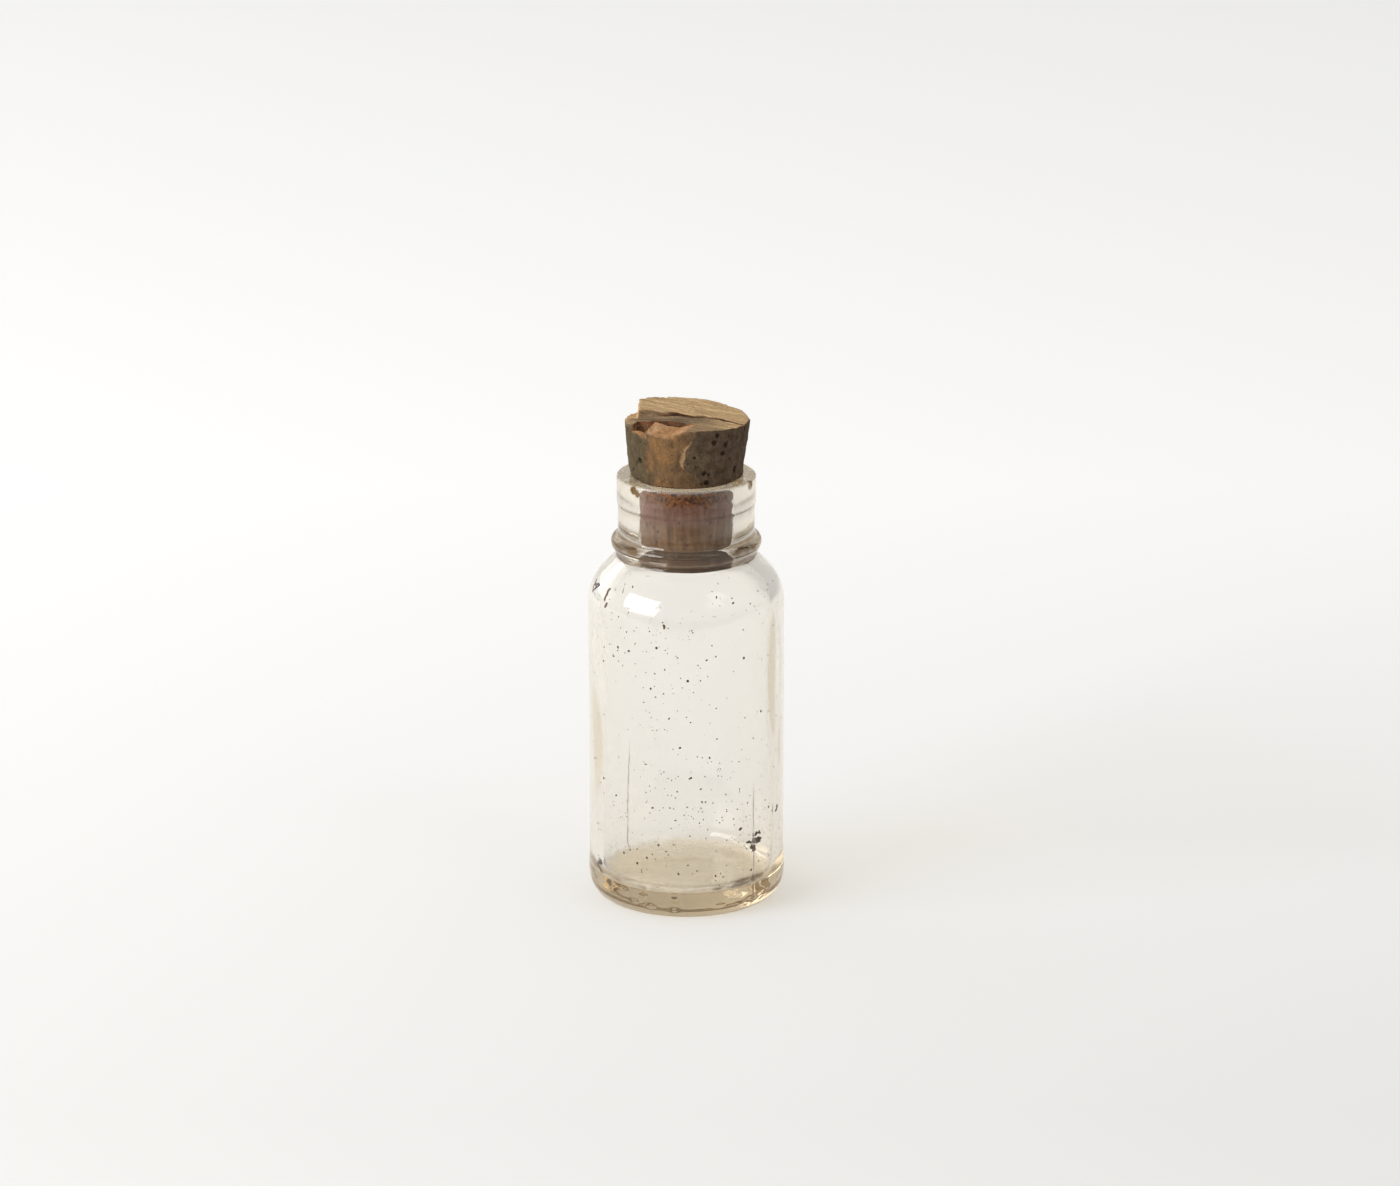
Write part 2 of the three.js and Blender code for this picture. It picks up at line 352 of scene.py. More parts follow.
@dataclass(frozen=True)
class Grain:
    """A random pattern of a real size, drawn in the piece's own frame."""

    across: float
    deep: float | None = None
    tall: float | None = None
    detail: float = 4.0
    low: float = 0.35
    high: float = 0.65
    least: float = 0.0
    most: float = 1.0
    turn_degrees: float = 0.0
    roughness: float = 0.62

    def draw(self, tree: bpy.types.NodeTree) -> bpy.types.NodeSocket:
        """Add the pattern to a material.

        Args:
            tree: The material's node tree.

        Returns:
            A socket that runs from the pattern's least to its most.
        """
        sizes = (self.across, self.deep or self.across, self.tall or self.across)
        place_at = add_node(tree, "ShaderNodeTexCoord").outputs["Object"]
        sized = add_node(
            tree,
            "ShaderNodeMapping",
            {"vector_type": "TEXTURE"},
            {
                "Vector": place_at,
                "Rotation": (0, 0, math.radians(self.turn_degrees)),
                "Scale": tuple(size * MM for size in sizes),
            },
        ).outputs["Vector"]
        noise = add_node(
            tree,
            "ShaderNodeTexNoise",
            inputs={"Vector": sized, "Scale": 1.0, "Detail": self.detail, "Roughness": self.roughness},
        ).outputs["Fac"]
        limits = {"From Min": self.low, "From Max": self.high, "To Min": self.least, "To Max": self.most}
        return add_node(tree, "ShaderNodeMapRange", inputs={"Value": noise, **limits}).outputs["Result"]


class Turning:
    """Points and faces of a profile turned round the Z axis."""

    ARC_STEP_DEGREES = 3.0
    LEAST_ARC_STEPS = 4
    SHORTEST_SHARE = 0.01
    BEND_STEPS = 12
    STEPS_IN_REACH = 6

    @staticmethod
    def arc(centre: tuple[float, float], across: float, up: float, start: float, end: float) -> Profile:
        """Sample an elliptical arc in the profile plane.

        Args:
            centre: Radius and height of the arc's centre.
            across: Half width of the ellipse, negative to mirror it.
            up: Half height of the ellipse.
            start: First angle in degrees from the outward direction.
            end: Last angle.

        Returns:
            Points of radius and height.
        """
        count = max(Turning.LEAST_ARC_STEPS, round(abs(end - start) / Turning.ARC_STEP_DEGREES))
        angles = np.radians(np.linspace(start, end, count + 1))
        return [(centre[0] + across * math.cos(a), centre[1] + up * math.sin(a)) for a in angles]

    @staticmethod
    def bend(start: tuple[float, float], corner: tuple[float, float], end: tuple[float, float]) -> Profile:
        """Sample a hollow fillet in the profile plane.

        Args:
            start: Radius and height where the fillet leaves the first surface.
            corner: Where the two surfaces would meet.
            end: Where the fillet reaches the second surface.

        Returns:
            Points of radius and height.
        """
        return [
            tuple((1 - t) ** 2 * a + 2 * t * (1 - t) * b + t**2 * c for a, b, c in zip(start, corner, end))
            for t in np.linspace(0, 1, Turning.BEND_STEPS + 1)
        ]

    @staticmethod
    def cone(edge: tuple[float, float], slope: float, radius: float, reach: float) -> Profile:
        """Go straight on from an arc to an upright wall.

        Args:
            edge: Radius and height where the arc ends.
            slope: Rise for each millimetre towards the axis.
            radius: Radius of the upright wall.
            reach: Size of the small fillet where the cone meets the wall.

        Returns:
            Points of radius and height, from the arc upwards.
        """
        corner = (radius, edge[1] + slope * (edge[0] - radius))
        near = (radius + reach, corner[1] - slope * reach)
        return [edge, *Turning.bend(near, corner, (radius, corner[1] + reach))]

    @staticmethod
    def soften(
        profile: Profile, reach: float, spacing: Callable[[float, float], float], turn_degrees: float
    ) -> np.ndarray:
        """Round a profile's corners as fire-polished glass has them, and space its points.

        Args:
            profile: Points of radius and height, the first and last on the axis.
            reach: Distance over which a corner is rounded.
            spacing: Gives the longest step between the points that are kept, from radius and height.
            turn_degrees: Largest turn between them.

        Returns:
            One row of radius and height for each point that is kept.
        """
        path = np.array(profile, float)
        lengths = np.hypot(*np.diff(path, axis=0).T)
        path = path[np.concatenate([[True], lengths > reach * Turning.SHORTEST_SHARE])]
        along = np.concatenate([[0], np.cumsum(np.hypot(*np.diff(path, axis=0).T))])
        blur = Turning.STEPS_IN_REACH
        tail = 3 * blur
        step = reach / blur
        fine = np.arange(0, along[-1], step)
        dense = np.stack([np.interp(fine, along, path[:, i]) for i in (0, 1)], axis=1)
        kernel = np.exp(-0.5 * (np.arange(-tail, tail + 1) / blur) ** 2)
        kernel /= kernel.sum()
        padded = np.concatenate([dense[tail:0:-1] * (-1, 1), dense, dense[-2 : -2 - tail : -1] * (-1, 1)])
        smooth = np.stack([np.convolve(padded[:, i], kernel, "valid") for i in (0, 1)], axis=1)
        heading = np.unwrap(np.arctan2(*np.gradient(smooth, axis=0).T[::-1]))
        kept = [0]
        for i in range(1, len(smooth) - 1):
            gone = (i - kept[-1]) * step
            turned = abs(heading[i] - heading[kept[-1]])
            if gone >= spacing(*smooth[i]) or (turned >= math.radians(turn_degrees) and gone >= reach / 3):
                kept.append(i)
        kept.append(len(smooth) - 1)
        result = smooth[kept]
        result[[0, -1], 0] = 0
        return result

    @staticmethod
    def surface(profile: np.ndarray, bearings: np.ndarray) -> tuple[np.ndarray, list[tuple[int, ...]]]:
        """Turn a profile whose ends lie on the axis into a closed surface.

        Args:
            profile: Rows of radius and height, from the bottom of the outside onwards.
            bearings: Bearings of the profile's copies in radians, in rising order.

        Returns:
            Points, with one for each end and then one ring for each row, and the faces.
        """
        rows = profile[1:-1]
        count = len(bearings)
        radius, height = rows[:, :1], rows[:, 1:]
        ring_x = radius * np.sin(bearings)
        ring_y = -radius * np.cos(bearings)
        rings = np.stack([ring_x, ring_y, np.broadcast_to(height, ring_x.shape)], axis=2).reshape(-1, 3)
        ends = [(0, 0, profile[0, 1]), (0, 0, profile[-1, 1])]
        nearby = [(i, (i + 1) % count) for i in range(count)]
        faces = [(0, 2 + b, 2 + a) for a, b in nearby]
        for row in range(len(rows) - 1):
            low, high = 2 + row * count, 2 + (row + 1) * count
            faces += [(low + a, low + b, high + b, high + a) for a, b in nearby]
        last = 2 + (len(rows) - 1) * count
        faces += [(1, last + a, last + b) for a, b in nearby]
        return np.concatenate([ends, rings]), faces


class GlassMask(Enum):
    """Attributes on the glass that say where its surface isn't clear, from 0 to 1."""

    FROST = "worn_rim"
    # Grime and stains, with a painted dark line on the seams and painted shade in the creases round the bead
    GRIME_AND_SHADE = "seam_grime"
    RESIDUE = "stuck_residue"


@dataclass(frozen=True)
class BlownGlass:
    """Old soda-lime glass, blown in a mould and fire-polished.

    Iron and manganese in the sand give it a faint warm grey tint that deepens with the length of the
    light's way through it, so thin walls look clear and the thick foot looks tan.
    """

    name: str = "blown_soda_lime_glass"
    ior: float = 1.52
    tint: str = "#e8dcc3"
    tint_density_per_m: float = 85.0
    lamp_tint: str = "#fcfbf8"
    smears: Grain = Grain(7.0, detail=5.0, low=0.5, high=0.85, most=0.05)
    ripples: Grain = Grain(3.2, detail=2.0, low=0.0, high=1.0)
    ripple_strength: float = 0.12
    ripple_height: float = 0.1
    scuffs: Grain = Grain(0.6, detail=4.0, low=0.4, high=0.65, least=0.3)
    scuff_colour: str = "#cfc8b8"
    scuff_haze: float = 0.35
    scuff_roughness: float = 0.3
    # Colour of grime, also painted as shade in the creases round the bead and as a dark seam line
    grime_and_shade_colour: str = "#6e5432"
    grime_and_shade_breaks: Grain = Grain(2.0, detail=4.0, low=0.35, high=0.6, least=0.5)
    grime_and_shade_haze: float = 0.55
    residue_colour: str = "#e8d2a2"
    residue_patches: Grain = Grain(1.6, detail=4.0, low=0.3, high=0.65, least=0.36, most=0.6)
    most_reflections: float = 2.5

    def build(self) -> bpy.types.Material:
        """Build the material.

        Returns:
            Glass that lets lamps through, with smears, faint ripples, a scuffed rim, grimy seams
            and painted shade in the creases round the bead.
        """
        material, tree = new_material(self.name)
        masks = read_masks(tree, GlassMask)
        worn, grimy_and_shaded, stuck = [
            add_node(
                tree, "ShaderNodeMath", {"operation": "MULTIPLY"}, {0: masks[kind], 1: pattern.draw(tree)}
            ).outputs["Value"]
            for kind, pattern in (
                (GlassMask.FROST, self.scuffs),
                (GlassMask.GRIME_AND_SHADE, self.grime_and_shade_breaks),
                (GlassMask.RESIDUE, self.residue_patches),
            )
        ]
        clear = 1.0
        for share, haze in ((worn, self.scuff_haze), (stuck, 1.0)):
            clear = add_node(
                tree, "ShaderNodeMath", {"operation": "MULTIPLY_ADD"}, {0: share, 1: -haze, 2: clear}
            ).outputs["Value"]
        roughness = add_node(
            tree,
            "ShaderNodeMath",
            {"operation": "MULTIPLY_ADD"},
            {0: worn, 1: self.scuff_roughness, 2: self.smears.draw(tree)},
        )
        bump = add_node(
            tree,
            "ShaderNodeBump",
            inputs={
                "Height": self.ripples.draw(tree),
                "Strength": self.ripple_strength,
                "Distance": self.ripple_height * MM,
            },
        )
        glass = add_node(
            tree,
            "ShaderNodeBsdfPrincipled",
            inputs={
                "Base Color": paint(
                    tree,
                    "#ffffff",
                    (worn, self.scuff_colour),
                    (stuck, self.residue_colour),
                    (grimy_and_shaded, self.grime_and_shade_colour),
                ),
                "Transmission Weight": clear,
                "IOR": self.ior,
                "Roughness": roughness.outputs["Value"],
                "Normal": bump.outputs["Normal"],
            },
        )
        # Part grime, part painted shade: a matt dark coat on the seams, the ledge, round the bead and on the
        # lip stains
        hazy = add_node(tree, "ShaderNodeMath", {"operation": "MULTIPLY"}, {0: grimy_and_shaded, 1: self.grime_and_shade_haze})
        dirt = add_node(tree, "ShaderNodeBsdfDiffuse", inputs={"Color": linear(self.grime_and_shade_colour)})
        soiled_and_shaded = add_node(
            tree,
            "ShaderNodeMixShader",
            inputs={0: hazy.outputs["Value"], 1: glass.outputs["BSDF"], 2: dirt.outputs["BSDF"]},
        )
        path = add_node(tree, "ShaderNodeLightPath")
        trapped = add_node(
            tree,
            "ShaderNodeMath",
            {"operation": "GREATER_THAN"},
            {0: path.outputs["Glossy Depth"], 1: self.most_reflections},
        ).outputs["Value"]
        let_through = path.outputs["Is Shadow Ray"]
        for ray in (path.outputs["Is Diffuse Ray"], trapped):
            let_through = add_node(
                tree, "ShaderNodeMath", {"operation": "MAXIMUM"}, {0: let_through, 1: ray}
            ).outputs["Value"]
        open_way = add_node(tree, "ShaderNodeBsdfTransparent", inputs={"Color": linear(self.lamp_tint)})
        surface = add_node(
            tree,
            "ShaderNodeMixShader",
            inputs={0: let_through, 1: soiled_and_shaded.outputs["Shader"], 2: open_way.outputs["BSDF"]},
        )
        tint = add_node(
            tree,
            "ShaderNodeVolumeAbsorption",
            inputs={"Color": linear(self.tint), "Density": self.tint_density_per_m},
        )
        add_node(
            tree,
            "ShaderNodeOutputMaterial",
            inputs={"Surface": surface.outputs["Shader"], "Volume": tint.outputs["Volume"]},
        )
        return material


class CorkMask(Enum):
    """Attributes on the cork that say where each of its surfaces lies, from 0 to 1."""

    CUT_TOP = "cut_top"
    GREY = "weathered_slab"
    FRESH = "fresh_break"
    # Reddish-brown broken cork, partly painted shade: in the cavity, the splits and on steep risers near the
    # top
    RUST_AND_SHADE = "rusty_hollow"
    # Painted shade: near black in the pores, deeper in the splits and the cavity, and along lines drawn on
    # the splits
    RECESS_SHADE = "dark_pore"
    BARK = "dark_layer"
    FLAKE = "flaked_edge"
    OCHRE = "ochre_band"
    LICHEN = "grey_green_band"
    NECK = "in_neck"
    NECK_LOW = "low_in_neck"
    FOOT = "dark_foot"
    STAIN = "rust_stain"


@dataclass(frozen=True)
class AgedCork:
    """Natural cork, cut along its growth layers, handled and weathered for decades.

    The cut top is tan with grey streaks along the layers. The side has darkened unevenly, the fresh
    break is pinkish, and what the neck holds is stained mauve-brown. Shade is painted into the pores,
    the splits and the cavity, and the reddish broken faces are painted darker as shade.
    """

    name: str = "weathered_natural_cork"
    top_pale: str = "#ecca98"
    top_brown: str = "#ba956a"
    grey_pale: str = "#bd9d76"
    grey_dark: str = "#74614a"
    side_brown: str = "#7a5e42"
    side_umber: str = "#5f4a36"
    side_dark: str = "#40301f"
    bark_dark: str = "#4b3b2c"
    bark_grey: str = "#6a5846"
    flake: str = "#a8885f"
    ochre: str = "#987046"
    lichen: str = "#665940"
    lichen_dark: str = "#4f4634"
    fresh_pale: str = "#cda077"
    fresh_deep: str = "#b98556"
    # Reddish-brown of the broken faces, partly painted shade on the steep and hollow ones
    rust_and_shade_pale: str = "#8d5636"
    rust_and_shade_deep: str = "#4c2a19"
    neck_mauve: str = "#957066"
    neck_plum: str = "#6d4b40"
    neck_tan: str = "#8e7053"
    neck_grey: str = "#614534"
    foot_brown: str = "#4f3a29"
    stain_rust: str = "#915a2a"
    stain_dark: str = "#3a2117"
    # Painted shade in the pores, the splits and the cavity
    hollow_shade: str = "#1b110a"
    shade: Grain = Grain(0.4, detail=5.0, low=0.3, high=0.7, least=0.36, most=0.0)
    fine: Grain = Grain(0.4, detail=5.0, low=0.3, high=0.7)
    mottle: Grain = Grain(1.3)
    blotch: Grain = Grain(3.2, detail=3.0)
    upright: Grain = Grain(0.7, tall=5.0, low=0.32, high=0.68)
    fibres: Grain = Grain(5.0, deep=0.35, tall=1.5, detail=5.0, turn_degrees=LAYER_DEGREES)
    bands: Grain = Grain(10.0, deep=1.1, tall=3.0, detail=3.0, turn_degrees=LAYER_DEGREES)
    specks: Grain = Grain(0.5, tall=0.4, detail=2.0, low=0.62, high=0.7, most=0.5)
    smudges: Grain = Grain(1.0, tall=2.2, low=0.48, high=0.68, most=0.5)
    clots: Grain = Grain(0.5, detail=3.0, low=0.42, high=0.58)
    bump_strength: float = 0.8
    bump_height: float = 0.1
    roughness: float = 0.9
    gloss: float = 0.2

    def build(self) -> bpy.types.Material:
        """Build the material.

        Returns:
            Matt cork whose colours follow the masks on the mesh and grain in its own frame.
        """
        material, tree = new_material(self.name)
        masks = read_masks(tree, CorkMask)
        mottle = self.mottle.draw(tree)
        blotch = self.blotch.draw(tree)
        upright = self.upright.draw(tree)
        fibres = self.fibres.draw(tree)

        neck_low = paint(tree, self.neck_grey, (upright, self.neck_tan))
        neck = paint(tree, self.neck_plum, (upright, self.neck_mauve), (masks[CorkMask.NECK_LOW], neck_low))
        side = paint(
            tree,
            self.side_umber,
            (upright, self.side_brown),
            (masks[CorkMask.OCHRE], paint(tree, self.side_brown, (blotch, self.ochre))),
            (masks[CorkMask.LICHEN], paint(tree, self.lichen_dark, (mottle, self.lichen))),
            (self.smudges.draw(tree), self.side_dark),
            (masks[CorkMask.BARK], paint(tree, self.bark_dark, (mottle, self.bark_grey))),
            (masks[CorkMask.FLAKE], self.flake),
            (masks[CorkMask.NECK], neck),
            (masks[CorkMask.FOOT], self.foot_brown),
            (masks[CorkMask.STAIN], paint(tree, self.stain_dark, (self.clots.draw(tree), self.stain_rust))),
            (self.specks.draw(tree), self.side_dark),
        )
        weathered = paint(tree, self.grey_dark, (fibres, self.grey_pale))
        top = paint(
            tree,
            self.top_brown,
            (fibres, self.top_pale),
            (masks[CorkMask.GREY], paint(tree, self.grey_dark, (self.bands.draw(tree), weathered))),
        )
        colour = paint(
            tree,
            side,
            (masks[CorkMask.CUT_TOP], top),
            # Reddish broken cork, partly painted shade on the risers, splits and cavity
            (masks[CorkMask.RUST_AND_SHADE], paint(tree, self.rust_and_shade_deep, (mottle, self.rust_and_shade_pale))),
            (masks[CorkMask.FRESH], paint(tree, self.fresh_deep, (blotch, self.fresh_pale))),
            (self.shade.draw(tree), self.side_dark),
            # Painted shade in the pores, the splits, the cavity and along the split lines
            (masks[CorkMask.RECESS_SHADE], self.hollow_shade),
        )
        bump = add_node(
            tree,
            "ShaderNodeBump",
            inputs={
                "Height": self.fine.draw(tree),
                "Strength": self.bump_strength,
                "Distance": self.bump_height * MM,
            },
        )
        skin = add_node(
            tree,
            "ShaderNodeBsdfPrincipled",
            inputs={
                "Base Color": colour,
                "Roughness": self.roughness,
                "Specular IOR Level": self.gloss,
                "Normal": bump.outputs["Normal"],
            },
        )
        add_node(tree, "ShaderNodeOutputMaterial", inputs={"Surface": skin.outputs["BSDF"]})
        return material


class FilmMask(Enum):
    """Attributes on the dried film, from 0 to 1."""

    COVER = "film_cover"
    HEAVY = "film_heavy"


@dataclass(frozen=True)
class DriedFilm:
    """What a liquid left when it dried: a thin, patchy, translucent tan film."""

    name: str = "dried_film"
    thin_colour: str = "#e6d3a8"
    thick_colour: str = "#7a5a30"
    patches: Grain = Grain(2.2, detail=6.0, low=0.3, high=0.7, least=0.55)
    grit: Grain = Grain(0.45, detail=3.0, low=0.55, high=0.7, most=0.7)
    cover: float = 0.12
    roughness: float = 0.7
    gloss: float = 0.2

    def build(self) -> bpy.types.Material:
        """Build the material.

        Returns:
            A matt film that shows the glass through its thin parts.
        """
        material, tree = new_material(self.name)
        masks = read_masks(tree, FilmMask)
        patchy = add_node(
            tree,
            "ShaderNodeMath",
            {"operation": "MULTIPLY"},
            {0: masks[FilmMask.COVER], 1: self.patches.draw(tree)},
        ).outputs["Value"]
        cover = add_node(
            tree,
            "ShaderNodeMapRange",
            inputs={"Value": masks[FilmMask.HEAVY], "To Min": self.cover, "To Max": 1.0},
        ).outputs["Result"]
        alpha = add_node(tree, "ShaderNodeMath", {"operation": "MULTIPLY"}, {0: patchy, 1: cover})
        colour = paint(
            tree,
            self.thin_colour,
            (masks[FilmMask.HEAVY], self.thick_colour),
            (self.grit.draw(tree), self.thick_colour),
        )
        film = add_node(
            tree,
            "ShaderNodeBsdfPrincipled",
            inputs={
                "Base Color": colour,
                "Roughness": self.roughness,
                "Specular IOR Level": self.gloss,
                "Alpha": alpha.outputs["Value"],
            },
        )
        add_node(tree, "ShaderNodeOutputMaterial", inputs={"Surface": film.outputs["BSDF"]})
        return material


class DirtMask(Enum):
    """Attributes on the crumbs and specks, from 0 to 1."""

    PALE = "pale_dirt"


@dataclass(frozen=True)
class DarkCrumb:
    """Crumbled cork and dirt, matt and almost black, or olive-brown where it is thin."""

    name: str = "dark_cork_crumb"
    dark: str = "#1f150c"
    brown: str = "#4d3319"
    olive: str = "#6f6242"
    olive_brown: str = "#7d5a35"
    mottle: Grain = Grain(0.35, detail=3.0, low=0.4, high=0.65)
    roughness: float = 0.95
    gloss: float = 0.2

    def build(self) -> bpy.types.Material:
        """Build the material.

        Returns:
            Matt dark brown, mottled at the scale of a crumb.
        """
        material, tree = new_material(self.name)
        mottle = self.mottle.draw(tree)
        thin = paint(tree, self.olive, (mottle, self.olive_brown))
        pale = read_masks(tree, DirtMask)[DirtMask.PALE]
        dirt = add_node(
            tree,
            "ShaderNodeBsdfPrincipled",
            inputs={
                "Base Color": paint(tree, self.dark, (mottle, self.brown), (pale, thin)),
                "Roughness": self.roughness,
                "Specular IOR Level": self.gloss,
            },
        )
        add_node(tree, "ShaderNodeOutputMaterial", inputs={"Surface": dirt.outputs["BSDF"]})
        return material


@dataclass(frozen=True)
class Mark:
    """A small swelling, dimple or stain on the turned glass."""

    bearing: float
    height: float
    across: float
    tall: float
    depth: float

    def share(self, points: np.ndarray) -> np.ndarray:
        """How much of the mark each point gets, from 0 to 1.

        Args:
            points: One row of coordinates for each point.

        Returns:
            A bell shape over the mark's width and height.
        """
        radius = np.hypot(points[:, 0], points[:, 1])
        turned = np.degrees(np.arctan2(points[:, 0], -points[:, 1])) - self.bearing
        beside = np.radians((turned + 180) % 360 - 180) * radius / self.across
        return np.exp(-(beside**2) - ((points[:, 2] - self.height) / self.tall) ** 2)


@dataclass
class GlassBottle:
    """The blown glass bottle: foot, floor, wall, shoulder, bead, collar and stepped lip."""

    body_radius: float = 16.5
    wall: float = 2.2
    body_top: float = 51.5
    shoulder_width: float = 6.0
    shoulder_height: float = 7.5
    shoulder_wall: float = 1.8
    heel_height: float = 4.0
    heel_setback: float = 3.0
    heel_swell: float = 0.1
    heel_swell_above: float = 1.0
    heel_swell_tall: float = 1.3
    foot_width: float = 3.0
    push_up: float = 0.6
    floor: float = 4.0
    floor_corner: float = 2.6
    bore: float = 8.05
    bore_fillet: float = 0.8
    neck_wall: float = 3.4
    groove_step: float = 0.3
    groove_height: float = 1.95
    neck_cone_width: float = 2.6
    neck_fillet: float = 0.35
    bead_step: float = 1.15
    bead_rise: float = 1.4
    bead_fall: float = 1.1
    bead_fillet_width: float = 0.45
    bead_fillet_height: float = 1.15
    collar_height: float = 5.3
    ledge_height: float = 0.4
    lip_step: float = 0.2
    lip_height: float = 4.6
    rim_round: float = 0.3
    mouth_flare: float = 1.55
    mouth_depth: float = 1.4
    corner_round: float = 0.15
    turn_step_degrees: float = 6.0
    coarse_step: float = 1.4
    fine_step: float = 0.28
    stained_lip: float = 2.2
    bore_step: float = 0.19
    segments: int = 300
    wall_waves: tuple[Relief, ...] = (
        Relief(0.1, (8.0, 8.0, 20.0), 11),
        Relief(0.05, (4.0, 4.0, 10.0), 12),
    )
    bore_ripple: Relief = Relief(0.009, (0.42, 0.42, 0.84), 13)
    outer_wave: Relief = Relief(0.035, (8.0, 8.0, 16.0), 21)
    chatter_relief: Relief = Relief(1.0, 0.55, 22)
    seam_bearings: tuple[float, float] = (43.0, 223.0)
    seam_height: float = 0.07
    seam_half_width: float = 0.13
    seam_finer_degrees: float = 1.5
    seam_copies: int = 13
    # Grime on the mould seams, partly a painted dark line standing in for their shade
    seam_grime: float = 0.65
    # A darker band along the ledge under the lip
    ledge_darkening: float = 0.45
    # Painted shade round the bead, weak at the front and full beyond the given bearings
    bead_shade: float = 0.95
    bead_shade_front: float = 0.12
    bead_shade_from: Span = (24.0, 42.0)

    # Rings of painted shade in the groove and the creases round the bead,
    # each with its height over the bead's foot, its width and its strength
    bead_rings: tuple[tuple[float, float, float], ...] = (
        (-0.4, 0.45, 0.7),
        (1.8, 0.9, 1.0),
        (2.9, 0.5, 0.6),
    )
    rim_scuff_under: Span = (0.45, 0.15)
    seam_low: float = 3.0
    seam_high: float = 24.0
    seam_full_share: float = 0.8
    swellings: tuple[Mark, ...] = (
        Mark(72, 40, 1.6, 9.0, 0.42),
        Mark(84, 33, 2.2, 12.0, 0.3),
        Mark(-80, 27, 2.6, 8.0, 0.4),
        Mark(-66, 44, 1.6, 6.0, 0.16),
        Mark(140, 30, 3.0, 14.0, 0.25),
        Mark(-150, 22, 3.0, 9.0, 0.22),
    )
    dimples: tuple[Mark, ...] = (
        Mark(-39.6, 4.3, 0.7, 0.35, -0.1),
        Mark(-25.5, 4.0, 0.8, 0.4, -0.12),
        Mark(-16.5, 3.7, 0.5, 0.3, -0.09),
        Mark(-7.0, 3.9, 0.8, 0.45, -0.12),
        Mark(-21.6, 2.4, 0.7, 0.35, -0.16),
        Mark(-7.2, 1.9, 0.7, 0.35, -0.12),
        Mark(-32.0, 2.8, 0.6, 0.3, -0.08),
        Mark(20.0, 2.6, 1.0, 0.4, -0.06),
        Mark(95.0, 3.0, 0.8, 0.4, -0.1),
        Mark(150.0, 2.6, 0.9, 0.4, -0.12),
        Mark(-120.0, 3.1, 0.8, 0.4, -0.1),
    )
    chatter: tuple[Mark, ...] = (
        Mark(36, 1.7, 1.6, 0.5, 0.12),
        Mark(44, 2.3, 1.6, 0.5, 0.12),
        Mark(52, 2.9, 1.6, 0.5, 0.1),
    )

    residue_back: float = 0.95
    residue_front: float = 3.3
    residue_to_front: Span = (8.0, -8.0)
    residue_edge: Relief = Relief(0.2, 1.5, 91)
    residue_fade: Span = (1.0, 0.25)
    residue_thins: Span = (5.0, 13.0)
    residue_thinner: float = 0.45
    stain_breaks: tuple[Relief, ...] = (Relief(1.0, 1.2, 92), Relief(0.5, 0.5, 93))
    stain_span: Span = (-0.7, 0.5)
    lip_stain_span: Span = (0.15, 0.5)
    floor_stains: tuple[Mark, ...] = (
        Mark(22, 5.0, 2.2, 0.35, 1.2),
        Mark(36, 5.2, 2.4, 0.45, 2.0),
        Mark(44, 5.6, 2.2, 0.6, 2.0),
        Mark(58, 5.6, 2.2, 0.5, 1.2),
        Mark(72, 5.8, 1.6, 0.5, 0.8),
        Mark(-30, 5.0, 2.4, 0.35, 0.7),
        Mark(-52, 5.2, 2.6, 0.5, 0.9),
        Mark(-75, 5.6, 2.0, 0.6, 0.8),
    )
    lip_stains: tuple[Mark, ...] = (
        Mark(-48.4, 72.85, 0.75, 0.6, 2.0),
        Mark(-44.0, 72.4, 0.45, 0.55, 1.6),
        Mark(66.0, 72.9, 0.85, 0.65, 1.6),
    )

    @property
    def inner_radius(self) -> float:
        """Radius of the straight inner wall."""
        return self.body_radius - self.wall

    @property
    def collar_radius(self) -> float:
        """Radius of the collar between the bead and the lip."""
        return self.bore + self.neck_wall

    @property
    def shoulder_centre(self) -> float:
        """Radius at which the outer shoulder's arc has its centre."""
        return self.body_radius - self.shoulder_width

    @property
    def cone_slope(self) -> float:
        """Rise of the shoulder, for each millimetre inwards, where it goes on as a cone to the neck."""
        start = self.collar_radius + self.groove_step + self.neck_cone_width
        reach = math.acos((start - self.shoulder_centre) / self.shoulder_width)
        return self.shoulder_height / (self.shoulder_width * math.tan(reach))

    @property
    def bead_base(self) -> float:
        """Height where the groove ends and the bead begins."""
        reach = (self.collar_radius + self.groove_step - self.shoulder_centre) / self.shoulder_width
        return self.body_top + self.shoulder_height * math.sqrt(1 - reach**2) + self.groove_height

    @property
    def collar_top(self) -> float:
        """Height where the collar meets the ledge under the lip."""
        return self.bead_base + self.bead_rise + self.bead_fall + self.collar_height

    @property
    def rim(self) -> float:
        """Height of the rim."""
        return self.collar_top + self.ledge_height + self.lip_height

